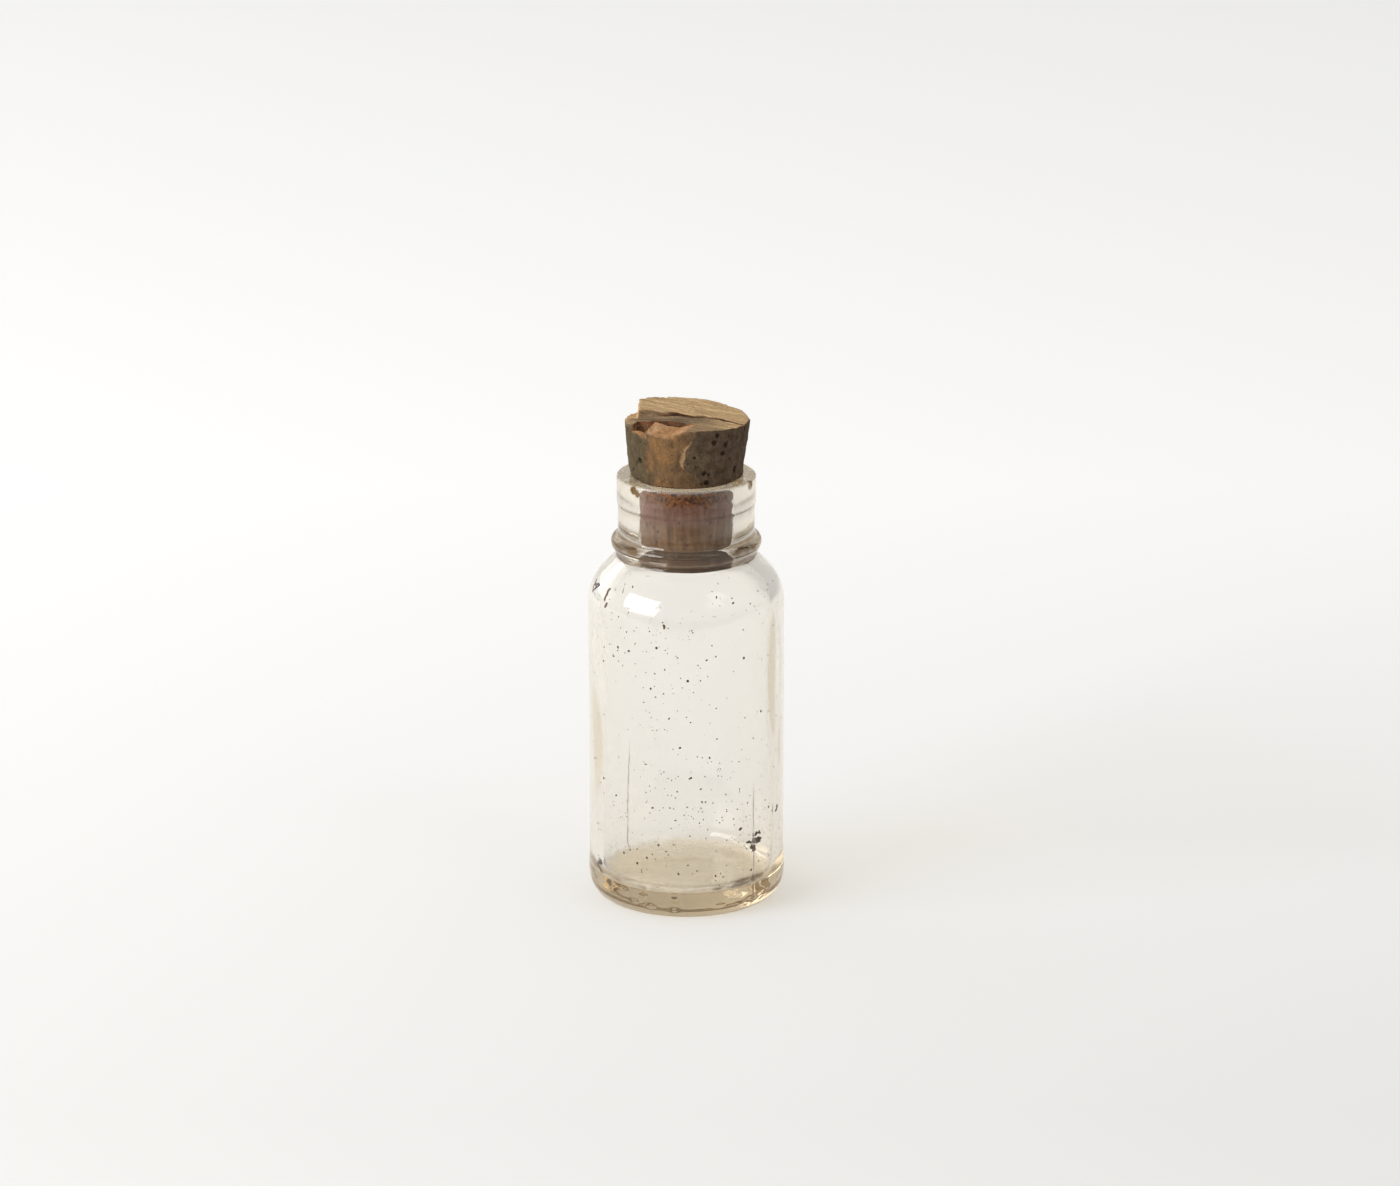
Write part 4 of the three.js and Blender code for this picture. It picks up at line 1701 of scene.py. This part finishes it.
    def mark_side(self, own: np.ndarray) -> dict[CorkMask, np.ndarray]:
        """Say where each kind of surface lies on the cork's side.

        Args:
            own: The mesh's vertices in the frame of the cork as it was cut.

        Returns:
            A value from 0 to 1 for each vertex, for each mask.
        """
        ends = self.colour_ends
        height = own[:, 2]
        over_rim = height - self.rim
        bearing = np.degrees(np.arctan2(own[:, 0], -own[:, 1]))
        loose = bearing + sum(relief.at(own) for relief in ends.bearing_reliefs)
        in_neck = fade(*ends.neck, over_rim + ends.neck_relief.at(own))
        low = fade(*ends.neck_low, over_rim + ends.neck_low_relief.at(own))
        fringe = fade(*ends.fringe_foot, over_rim + ends.fringe_relief.at(own))
        patch = self.rusty_patch.share(own)
        edge = self.bark_edge(own)
        lift = (height - self.flake_height) / self.flake_reach
        ragged = 1 + ends.flake_relief.at(own)
        flake_width = self.flake_width * np.clip(1 - lift**2, 0, 1) * ragged
        flake = fade(0, ends.flake_ramp, edge + flake_width) * fade(*ends.flake_edge, edge)
        flake = flake * (flake_width > ends.flake_least)
        return {
            CorkMask.BARK: self.bark(own),
            CorkMask.FLAKE: flake * fade(*self.bark_round_back, own[:, 1]),
            CorkMask.OCHRE: np.maximum(fade(*ends.ochre_left, loose) * fade(*ends.ochre_right, loose), patch),
            CorkMask.LICHEN: ends.lichen_most
            * fade(*ends.lichen_left, loose)
            * fade(*ends.lichen_right, loose)
            * (1 - patch),
            CorkMask.NECK: in_neck,
            CorkMask.NECK_LOW: in_neck * low,
            CorkMask.FOOT: fade(0, -1, height - self.foot_top + ends.foot_relief.at(own)),
            CorkMask.STAIN: fringe * fade(*ends.fringe_head, over_rim),
        }

    def build(self, finish: AgedCork) -> bpy.types.Object:
        """Build the cork.

        Args:
            finish: The cork's finish.

        Returns:
            One closed mesh with its masks as attributes.
        """
        reach = self.top_radius + self.margin
        foot = self.rim - self.depth
        low = np.array([-reach, -reach, foot - self.margin])
        high = np.array([reach, reach, self.top + self.top_margin])
        grid, counts = voxel_grid(low, high, self.voxel)
        height = grid[:, 2]
        plug = np.maximum(np.hypot(grid[:, 0], grid[:, 1]) - self.radius_at(height), foot - height)
        deep = (plug < -self.band) & (height < self.top - self.crown_reach)
        near = ~deep & (plug < self.band)
        values = np.where(deep, -self.band, self.band)
        values[near] = np.clip(self.distance(grid[near]), -self.band, self.band)
        points, quads = skin_of(values, counts, self.band, low, self.voxel)
        piece = mesh_piece("cork_stopper_weathered", points, quads, finish.build())
        keep_largest(piece)
        mesh = piece.data
        places = np.zeros(len(mesh.vertices) * 3, np.float32)
        mesh.vertices.foreach_get("co", places)
        normals = np.zeros(len(mesh.vertices) * 3, np.float32)
        mesh.vertex_normals.foreach_get("vector", normals)
        places = places.reshape(-1, 3).astype(float) / MM
        write_masks(piece, self.mark(places, normals.reshape(-1, 3).astype(float)))
        return piece


@dataclass
class ResidueFilm:
    """The dried film on the floor inside, which thins out as it climbs the wall."""

    bottle: GlassBottle
    gap: float = 0.05
    thickness: float = 0.1
    climb: float = 2.1
    spacing: float = 0.5
    turn_degrees: float = 6.0
    segments: int = 220
    ring_radius: float = 12.4
    ring_width: float = 0.75
    ring_heavy: float = 0.45
    ring_to_front: Span = (4.0, -8.0)
    ring_reliefs: tuple[Relief, ...] = (Relief(1.0, (3.0, 3.0, 2.0), 91), Relief(0.5, 1.1, 92))
    ring_span: Span = (-0.9, 0.6)
    edge_span: Span = (0.02, 0.3)

    def skin(self, offset: float) -> Profile:
        """Trace one side of the film, from its upper edge down to the middle of the floor."""
        edge = self.bottle.floor + self.climb
        inside = [spot for spot in self.bottle.inside(offset) if spot[1] < edge]
        return [(inside[0][0], edge), *inside]

    def cover(self, points: np.ndarray) -> dict[FilmMask, np.ndarray]:
        """Say how much of the glass the film hides, and where it is heavy.

        Args:
            points: The film's vertices.

        Returns:
            A value from 0 to 1 for each vertex, for each mask.
        """
        over_floor = points[:, 2] - self.bottle.floor
        radius = np.hypot(points[:, 0], points[:, 1])
        uneven = sum(relief.at(points) for relief in self.ring_reliefs)
        ring = np.exp(-(((radius - self.ring_radius) / self.ring_width) ** 2)) * fade(*self.ring_span, uneven)
        to_front = fade(*self.ring_to_front, points[:, 1])
        heavy = self.ring_heavy * ring * to_front + self.bottle.stained(points)
        cover = self.bottle.residue_share(points) * fade(*self.edge_span, self.climb - over_floor)
        return {FilmMask.COVER: cover, FilmMask.HEAVY: np.clip(heavy, 0, 1)}

    def build(self, finish: DriedFilm) -> bpy.types.Object:
        """Build the film.

        Args:
            finish: What it dried to.

        Returns:
            One closed mesh just clear of the glass, with its masks.
        """
        loop = self.skin(self.gap)[::-1] + self.skin(self.gap + self.thickness)
        profile = Turning.soften(loop, self.gap, lambda radius, height: self.spacing, self.turn_degrees)
        points, faces = Turning.surface(profile, np.radians(np.arange(self.segments) * 360 / self.segments))
        points[:, :2] *= self.bottle.waves(points)[:, None]
        piece = mesh_piece("dried_residue_film", points, faces, finish.build())
        write_masks(piece, self.cover(points))
        return piece


@dataclass(frozen=True)
class Crumb:
    """A crumb of dirt stuck to the inner wall, drawn as strokes of bearing and height.

    It sinks a little into the glass, as what is stuck to a wall shows through it at any slant.
    """

    name: str
    strokes: tuple[Stroke, ...]
    stroke_radius: float = 0.24
    spread: float = 1.6
    pale: float = 0.0
    nodes: tuple[str, ...] = ()
    seed: int = 100
    sunk: float = 0.1
    flatness: float = 0.55
    roughness: float = 0.45
    rough_mm: float = 0.22
    worn_off: float = 0.4
    voxel: float = 0.04
    margins: float = 1.5

    def distance(self, points: np.ndarray, bottle: GlassBottle) -> np.ndarray:
        """Signed distance from the strokes.

        Args:
            points: Rows of place round the wall, inset from it and height.
            bottle: The bottle whose wall the crumb clings to.

        Returns:
            Millimetres, negative inside the crumb.
        """
        depth = self.stroke_radius * self.flatness - self.sunk
        nearest = np.full(len(points), self.stroke_radius)
        for stroke in self.strokes:
            places = [(math.radians(b) * bottle.inner_radius / self.spread, depth, z) for b, z in stroke]
            for start, end in zip(places, places[1:] or places):
                first = np.array(start)
                way = np.array(end) - first
                share = np.clip((points - first) @ way / max(way @ way, self.voxel**2), 0, 1)
                away = (points - first - share[:, None] * way) / (1, self.flatness, 1)
                nearest = np.minimum(nearest, np.linalg.norm(away, axis=1) - self.stroke_radius)
        uneven = value_noise(points, self.rough_mm, self.seed) + self.worn_off
        return nearest + self.roughness * self.stroke_radius * uneven

    def build(self, bottle: GlassBottle, material: bpy.types.Material) -> bpy.types.Object:
        """Build the crumb.

        Args:
            bottle: The bottle whose wall the crumb clings to.
            material: What it is made of.

        Returns:
            One mesh of closed lumps on the wall.
        """
        spots = [(math.radians(b) * bottle.inner_radius / self.spread, z) for s in self.strokes for b, z in s]
        margin = self.margins * self.stroke_radius
        around, heights = np.array(spots).T
        low = np.array([around.min() - margin, -self.sunk - margin, heights.min() - margin])
        high = np.array([around.max() + margin, 2 * margin, heights.max() + margin])
        grid, counts = voxel_grid(low, high, self.voxel)
        values = np.clip(self.distance(grid, bottle), -margin, margin)
        points, quads = skin_of(values, counts, margin, low, self.voxel)
        bearings = np.degrees(points[:, 0] * self.spread / bottle.inner_radius)
        placed = bottle.on_inner_wall(bearings, points[:, 2], np.maximum(points[:, 1], -self.sunk))
        piece = mesh_piece(self.name, placed, quads, material)
        write_masks(piece, {DirtMask.PALE: np.full(len(placed), self.pale)})
        return piece


CRUMBS = (
    Crumb(
        "crumb_left_shoulder_curl",
        (
            ((-87.0, 54.4), (-86.2, 54.1), (-86.1, 53.7), (-85.8, 53.5), (-84.0, 53.1)),
            (
                (-83.6, 53.2),
                (-81.6, 53.6),
                (-80.5, 53.9),
                (-78.4, 54.1),
                (-77.9, 54.4),
                (-80.4, 54.3),
                (-83.5, 54.0),
            ),
        ),
        stroke_radius=0.17,
        spread=2.2,
        pale=0.2,
        nodes=("crumb_left_shoulder",),
        seed=101,
    ),
    Crumb(
        "crumb_left_shoulder_splinter",
        (
            ((-63.2, 54.7), (-63.7, 54.4), (-63.9, 54.0), (-64.0, 53.6), (-63.8, 53.3)),
            ((-60.4, 52.9), (-61.4, 52.4)),
        ),
        stroke_radius=0.2,
        spread=1.5,
        pale=0.5,
        nodes=("crumb_left_shoulder_sliver",),
        seed=102,
    ),
    Crumb(
        "crumb_upper_front_fleck",
        (((-14.1, 51.6), (-14.1, 51.1)),),
        stroke_radius=0.22,
        spread=1.0,
        pale=0.8,
        nodes=("crumb_upper_front",),
        seed=103,
    ),
    Crumb(
        "crumb_right_wall_streak",
        (((74.5, 16.5), (74.1, 16.2), (72.8, 15.8)),),
        stroke_radius=0.27,
        spread=2.0,
        pale=0.2,
        nodes=("crumb_right_wall",),
        seed=104,
    ),
    Crumb(
        "crumb_right_front_fleck",
        (((36.7, 15.2), (36.9, 15.0)),),
        stroke_radius=0.24,
        spread=1.3,
        pale=0.9,
        nodes=("crumb_right_front",),
        seed=105,
    ),
    Crumb(
        "crumb_right_heel_upper_clot",
        (
            ((52.3, 12.5), (51.0, 12.3), (50.9, 11.9), (53.1, 11.9), (54.2, 12.3)),
            ((49.2, 13.3), (50.7, 13.5)),
            ((53.4, 13.4), (53.8, 13.4)),
            ((48.8, 12.6), (47.9, 12.1)),
        ),
        stroke_radius=0.28,
        spread=1.4,
        pale=0.2,
        nodes=("crumb_right_heel_upper",),
        seed=106,
    ),
    Crumb(
        "crumb_right_heel_lower_clot",
        (((46.4, 11.6), (45.7, 11.2)), ((48.1, 11.4), (48.2, 10.6)), ((45.3, 12.2), (43.3, 12.4))),
        stroke_radius=0.27,
        spread=1.4,
        pale=0.35,
        nodes=("crumb_right_heel_lower",),
        seed=107,
    ),
    Crumb(
        "crumb_left_heel_curl",
        (
            (
                (-68.3, 7.4),
                (-68.9, 7.0),
                (-70.4, 6.5),
                (-71.8, 6.2),
                (-70.4, 6.0),
                (-68.8, 5.6),
                (-68.0, 5.2),
            ),
            ((-68.9, 7.0), (-66.7, 6.9)),
        ),
        stroke_radius=0.34,
        spread=2.0,
        nodes=("crumb_left_heel",),
        seed=108,
    ),
)


@dataclass
class WallSpecks:
    """Fine flakes of dirt on the inner wall: the ones that catch the eye and a random dusting."""

    bottle: GlassBottle
    inset: float = -0.02
    flatness: float = 0.3
    finest: float = 0.075
    coarsest: float = 0.16
    per_square_metre: float = 600000.0
    seed: int = 7
    columns: int = 90
    rows: int = 70
    placed_radius: float = 0.26
    slimmest: float = 0.45
    pale: float = 0.12
    above_floor: float = 0.6
    above_body: float = 3.7
    dusty_everywhere: float = 0.3
    dusty_parts: tuple[tuple[float, Span], ...] = ((0.7, (22.0, 6.0)), (0.2, (46.0, 54.0)))
    dusty_relief: Relief = Relief(1.0, 5.0, 121)
    dusty_span: Span = (-0.8, 0.5)
    placed: tuple[tuple[float, float], ...] = (
        (-48, 46.5),
        (-39, 46.3),
        (-19, 47.6),
        (1, 42.1),
        (-50, 20.3),
        (-4, 30.4),
        (15, 28.5),
        (3, 25.1),
        (-63, 22.4),
        (-22, 19.5),
        (10, 20.8),
        (-38.5, 11.3),
        (-43.5, 10.5),
        (-18, 13.0),
        (-26, 10.5),
        (-33, 9.2),
        (-5, 8.1),
        (19, 7.5),
        (45.5, 7.3),
        (47, 5.6),
        (-63, 43.1),
        (-52, 44.7),
        (13, 45.6),
        (22, 55.3),
        (33, 54.3),
        (-44, 55.9),
        (39, 45.1),
        (63, 17.3),
        (-23, 40.4),
        (54, 34.9),
    )

    def carrier(self) -> bpy.types.Object:
        """Make the wall that the specks lie on, with a loose point for each placed one."""
        turned = np.arange(self.columns) * 360 / self.columns
        low, high = self.bottle.floor + self.above_floor, self.bottle.body_top + self.above_body
        heights = np.linspace(low, high, self.rows)
        bearings, levels = [part.ravel() for part in np.meshgrid(turned, heights)]
        wall = self.bottle.on_inner_wall(bearings, levels, self.inset)
        spots = np.array(self.placed, float)
        loose = self.bottle.on_inner_wall(spots[:, 0], spots[:, 1], self.inset)
        faces = [
            (
                row * self.columns + column,
                row * self.columns + (column + 1) % self.columns,
                (row + 1) * self.columns + (column + 1) % self.columns,
                (row + 1) * self.columns + column,
            )
            for row in range(self.rows - 1)
            for column in range(self.columns)
        ]
        piece = mesh_piece("speck_carrier", np.concatenate([wall, loose]), faces, new_material("bare")[0])
        parts = sum(share * fade(*span, wall[:, 2]) for share, span in self.dusty_parts)
        dusty = (self.dusty_everywhere + parts) * fade(*self.dusty_span, self.dusty_relief.at(wall))
        single = np.concatenate([np.zeros(len(wall)), np.ones(len(loose))])
        shares = {"dustiness": np.concatenate([dusty, np.zeros(len(loose))]), "single": single}
        for name, values in shares.items():
            attribute = piece.data.attributes.new(name, "FLOAT", "POINT")
            attribute.data.foreach_set("value", values.astype(np.float32))
        return piece

    def tree(self, material: bpy.types.Material) -> bpy.types.NodeTree:
        """Write the node tree that scatters the specks.

        Args:
            material: What the specks are made of.

        Returns:
            A tree with named inputs for its sizes, its density and its seed.
        """
        tree = bpy.data.node_groups.new("scatter_specks", "GeometryNodeTree")
        face = tree.interface
        face.new_socket("Wall", in_out="INPUT", socket_type="NodeSocketGeometry")
        for name in ("Finest", "Coarsest", "Placed", "Flatness", "Density"):
            face.new_socket(name, in_out="INPUT", socket_type="NodeSocketFloat")
        face.new_socket("Seed", in_out="INPUT", socket_type="NodeSocketInt")
        face.new_socket("Specks", in_out="OUTPUT", socket_type="NodeSocketGeometry")
        given = add_node(tree, "NodeGroupInput").outputs
        read = {
            name: add_node(
                tree, "GeometryNodeInputNamedAttribute", {"data_type": "FLOAT"}, {"Name": name}
            ).outputs["Attribute"]
            for name in ("dustiness", "single")
        }
        density = add_node(
            tree, "ShaderNodeMath", {"operation": "MULTIPLY"}, {0: read["dustiness"], 1: given["Density"]}
        )
        scattered = add_node(
            tree,
            "GeometryNodeDistributePointsOnFaces",
            inputs={"Mesh": given["Wall"], "Density": density.outputs[0], "Seed": given["Seed"]},
        )
        chosen = add_node(
            tree, "GeometryNodeMeshToPoints", inputs={"Mesh": given["Wall"], "Selection": read["single"]}
        )
        lump = add_node(tree, "GeometryNodeMeshIcoSphere", inputs={"Radius": 1.0, "Subdivisions": 1})
        place_at = add_node(tree, "GeometryNodeInputPosition").outputs["Position"]
        outward = add_node(
            tree, "ShaderNodeVectorMath", {"operation": "MULTIPLY"}, {0: place_at, 1: (1.0, 1.0, 0.0)}
        )
        facing = add_node(
            tree,
            "FunctionNodeAlignRotationToVector",
            {"axis": "Z"},
            {"Vector": outward.outputs["Vector"]},
        )
        angle = add_node(
            tree,
            "FunctionNodeRandomValue",
            {"data_type": "FLOAT"},
            {RANDOM_LOW: 0.0, RANDOM_HIGH: math.tau, "Seed": given["Seed"]},
        )
        spin = add_node(
            tree,
            "FunctionNodeAxisAngleToRotation",
            inputs={"Axis": (0.0, 0.0, 1.0), "Angle": angle.outputs[1]},
        )
        turned = add_node(
            tree,
            "FunctionNodeRotateRotation",
            {"rotation_space": "LOCAL"},
            {"Rotation": facing.outputs["Rotation"], "Rotate By": spin.outputs["Rotation"]},
        )
        slim = add_node(
            tree,
            "FunctionNodeRandomValue",
            {"data_type": "FLOAT"},
            {RANDOM_LOW: self.slimmest, RANDOM_HIGH: 1.0},
        )
        fine = add_node(
            tree,
            "FunctionNodeRandomValue",
            {"data_type": "FLOAT"},
            {RANDOM_LOW: given["Finest"], RANDOM_HIGH: given["Coarsest"]},
        )
        groups = []
        for points, size in (
            (scattered.outputs["Points"], fine.outputs[1]),
            (chosen.outputs["Points"], given["Placed"]),
        ):
            narrow, thin = [
                add_node(tree, "ShaderNodeMath", {"operation": "MULTIPLY"}, {0: size, 1: share}).outputs[0]
                for share in (slim.outputs[1], given["Flatness"])
            ]
            scale = add_node(tree, "ShaderNodeCombineXYZ", inputs={"X": size, "Y": narrow, "Z": thin})
            flakes = add_node(
                tree,
                "GeometryNodeInstanceOnPoints",
                inputs={
                    "Points": points,
                    "Instance": lump.outputs["Mesh"],
                    "Rotation": turned.outputs["Rotation"],
                    "Scale": scale.outputs["Vector"],
                },
            )
            groups.append(flakes.outputs["Instances"])
        joined = add_node(tree, "GeometryNodeJoinGeometry")
        for group in groups:
            tree.links.new(group, joined.inputs[0])
        real = add_node(tree, "GeometryNodeRealizeInstances", inputs={"Geometry": joined.outputs["Geometry"]})
        dressed = add_node(
            tree,
            "GeometryNodeSetMaterial",
            inputs={"Geometry": real.outputs["Geometry"], "Material": material},
        )
        add_node(tree, "NodeGroupOutput", inputs={"Specks": dressed.outputs["Geometry"]})
        return tree

    def build(self, material: bpy.types.Material) -> bpy.types.Object:
        """Build the specks.

        Args:
            material: What they are made of.

        Returns:
            One plain mesh of many small flakes.
        """
        carrier = self.carrier()
        tree = self.tree(material)
        scatter = carrier.modifiers.new("scatter_specks", "NODES")
        scatter.node_group = tree
        sizes = {
            "Finest": self.finest * MM,
            "Coarsest": self.coarsest * MM,
            "Placed": self.placed_radius * MM,
            "Flatness": self.flatness,
            "Density": self.per_square_metre,
            "Seed": self.seed,
        }
        for item in tree.interface.items_tree:
            if item.in_out == "INPUT" and item.name in sizes:
                scatter[item.identifier] = sizes[item.name]
        evaluated = carrier.evaluated_get(bpy.context.evaluated_depsgraph_get())
        mesh = bpy.data.meshes.new_from_object(evaluated)
        carrier.modifiers.clear()
        bpy.data.objects.remove(carrier)
        mesh.name = "wall_specks"
        piece = bpy.data.objects.new("wall_specks", mesh)
        bpy.context.scene.collection.objects.link(piece)
        write_masks(piece, {DirtMask.PALE: np.full(len(mesh.vertices), self.pale)})
        return piece


@dataclass(frozen=True)
class Lamp:
    """A soft rectangular lamp, placed by where the bottle sees it and sized in metres."""

    name: str
    bearing: float
    elevation: float
    distance: float
    width: float
    height: float
    watts: float

    def build(self, target: Vector) -> None:
        """Hang the lamp so that it faces the bottle.

        Args:
            target: The point that it faces, in metres.
        """
        light = bpy.data.lights.new(self.name, "AREA")
        light.shape = "RECTANGLE"
        light.size = self.width
        light.size_y = self.height
        light.energy = self.watts
        lamp = bpy.data.objects.new(self.name, light)
        turn, lift = math.radians(self.bearing), math.radians(self.elevation)
        out = Vector((math.sin(turn) * math.cos(lift), -math.cos(turn) * math.cos(lift), math.sin(lift)))
        lamp.location = target + out * self.distance
        lamp.rotation_euler = out.to_track_quat("Z", "Y").to_euler()
        bpy.context.scene.collection.objects.link(lamp)


@dataclass
class Studio:
    """The pale seamless floor, the soft lamps, the sky and the camera."""

    floor_colour: str = "#e6e5e2"
    floor_half: float = 4.0
    floor_roughness: float = 0.95
    glow_front: float = 0.13
    glow_back: float = 0.34
    glow_from: float = -0.1
    glow_to: float = 0.25
    # Painted reflection: to glossy rays the floor in front shows as a dark room
    room_from: float = -0.16
    room_to: float = -0.24
    room_share: float = 0.8
    room_colour: str = "#2e2c2a"
    sky_for_light: float = 0.5
    sky_left: float = 1.0
    sky_right: float = 0.55
    sky_front: float = 0.62
    sky_front_to: float = 0.3
    camera_distance: float = 900.0
    camera_elevation: float = 17.0
    aim: tuple[float, float, float] = (2.29, 0.0, 52.75)
    focal_px: float = 5362.0
    frame_px: float = 1400.0
    sensor_mm: float = 36.0
    lamps: tuple[Lamp, ...] = (
        Lamp("window_left", -60, 25, 1.1, 0.8, 0.55, 10.0),
        Lamp("window_left_back", -132, 18, 1.1, 0.7, 0.4, 0.9),
        Lamp("pale_wall_right", 49, 48, 1.1, 0.35, 0.35, 0.5),
    )

    def camera(self) -> None:
        """Put the camera at the photograph's viewing angle."""
        lens = bpy.data.cameras.new("camera")
        lens.sensor_width = self.sensor_mm
        lens.lens = self.focal_px / self.frame_px * self.sensor_mm
        viewer = bpy.data.objects.new("camera", lens)
        lift = math.radians(self.camera_elevation)
        back = Vector((0, -math.cos(lift), math.sin(lift)))
        viewer.location = (Vector(self.aim) + back * self.camera_distance) * MM
        viewer.rotation_euler = (math.pi / 2 - lift, 0, 0)
        bpy.context.scene.collection.objects.link(viewer)
        bpy.context.scene.camera = viewer

    def floor(self) -> None:
        """Lay the pale floor, which shows near white and keeps the bottle's shadow."""
        material, tree = new_material("pale_floor")
        path = add_node(tree, "ShaderNodeLightPath").outputs
        seen = path["Is Camera Ray"]
        for ray in ("Is Glossy Ray", "Is Transmission Ray"):
            seen = add_node(
                tree, "ShaderNodeMath", {"operation": "ADD", "use_clamp": True}, {0: seen, 1: path[ray]}
            ).outputs["Value"]
        place_at = add_node(tree, "ShaderNodeTexCoord").outputs["Object"]
        to_back = add_node(tree, "ShaderNodeSeparateXYZ", inputs={"Vector": place_at}).outputs["Y"]
        level = add_node(
            tree,
            "ShaderNodeMapRange",
            inputs={
                "Value": to_back,
                "From Min": self.glow_from,
                "From Max": self.glow_to,
                "To Min": self.glow_front,
                "To Max": self.glow_back,
            },
        ).outputs["Result"]
        strength = add_node(tree, "ShaderNodeMath", {"operation": "MULTIPLY"}, {0: seen, 1: level})
        paper = add_node(
            tree,
            "ShaderNodeBsdfPrincipled",
            inputs={
                "Base Color": linear(self.floor_colour),
                "Roughness": self.floor_roughness,
                "Specular IOR Level": 0.0,
                "Emission Color": linear("#ffffff"),
                "Emission Strength": strength.outputs["Value"],
            },
        )
        # Painted reflection: glossy rays see the floor in front as the dark room
        in_front = add_node(
            tree,
            "ShaderNodeMapRange",
            inputs={
                "Value": to_back,
                "From Min": self.room_from,
                "From Max": self.room_to,
                "To Min": 0.0,
                "To Max": self.room_share,
            },
        ).outputs["Result"]
        mirrored = add_node(
            tree, "ShaderNodeMath", {"operation": "MULTIPLY"}, {0: path["Is Glossy Ray"], 1: in_front}
        ).outputs["Value"]
        room_reflection = add_node(tree, "ShaderNodeBsdfDiffuse", inputs={"Color": linear(self.room_colour)})
        surface = add_node(
            tree,
            "ShaderNodeMixShader",
            inputs={0: mirrored, 1: paper.outputs["BSDF"], 2: room_reflection.outputs["BSDF"]},
        )
        add_node(tree, "ShaderNodeOutputMaterial", inputs={"Surface": surface.outputs["Shader"]})
        half = self.floor_half / MM
        corners = np.array([(-half, -half, 0), (half, -half, 0), (half, half, 0), (-half, half, 0)])
        mesh_piece("floor", corners, [(0, 1, 2, 3)], material)

    def sky(self) -> None:
        """Surround the bottle with even light, brighter to the left, and a white background."""
        world = bpy.data.worlds.new("studio")
        bpy.context.scene.world = world
        world.use_nodes = True
        tree = world.node_tree
        tree.nodes.clear()
        path = add_node(tree, "ShaderNodeLightPath").outputs
        way = add_node(tree, "ShaderNodeTexCoord").outputs["Generated"]
        parts = add_node(tree, "ShaderNodeSeparateXYZ", inputs={"Vector": way}).outputs
        sideways, frontward = [
            add_node(
                tree,
                "ShaderNodeMapRange",
                inputs={
                    "Value": parts[axis],
                    "From Min": -1.0,
                    "From Max": far,
                    "To Min": near,
                    "To Max": end,
                },
            ).outputs["Result"]
            for axis, far, near, end in (
                ("X", 1.0, self.sky_left, self.sky_right),
                ("Y", self.sky_front_to, self.sky_front, 1.0),
            )
        ]
        strength = add_node(
            tree, "ShaderNodeMath", {"operation": "MULTIPLY"}, {0: sideways, 1: frontward}
        ).outputs[0]
        for ray, level in (("Is Camera Ray", 1.0), ("Is Diffuse Ray", self.sky_for_light)):
            strength = add_node(
                tree, "ShaderNodeMix", {"data_type": "FLOAT"}, {0: path[ray], 2: strength, 3: level}
            ).outputs[0]
        glow = add_node(
            tree, "ShaderNodeBackground", inputs={"Color": linear("#ffffff"), "Strength": strength}
        )
        add_node(tree, "ShaderNodeOutputWorld", inputs={"Surface": glow.outputs["Background"]})

    def build(self) -> None:
        """Set up the whole studio."""
        self.camera()
        self.floor()
        self.sky()
        for lamp in self.lamps:
            lamp.build(Vector(self.aim) * MM)
        bpy.context.scene.view_settings.view_transform = "Standard"


def main() -> None:
    """Build the bottle, its cork and what it holds, and light them."""
    logging.basicConfig(level=logging.INFO, format="%(message)s")
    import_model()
    Studio().build()
    bottle = GlassBottle()
    place(bottle.build(BlownGlass()), BOTTLE_BODY, "clear_glass", "glass_bottle")
    cork = CorkStopper(rim=bottle.rim)
    place(cork.build(AgedCork()), STOPPER_BODY, "aged_cork", "cork_stopper")
    place(ResidueFilm(bottle).build(DriedFilm()), BOTTLE_BODY, "dried_deposit", "dried_residue")
    dirt = DarkCrumb().build()
    for crumb in CRUMBS:
        place(crumb.build(bottle, dirt), BOTTLE_BODY, "dark_crumb", *crumb.nodes)
    place(WallSpecks(bottle).build(dirt), BOTTLE_BODY, "dark_crumb")


if __name__ == "__main__":
    main()
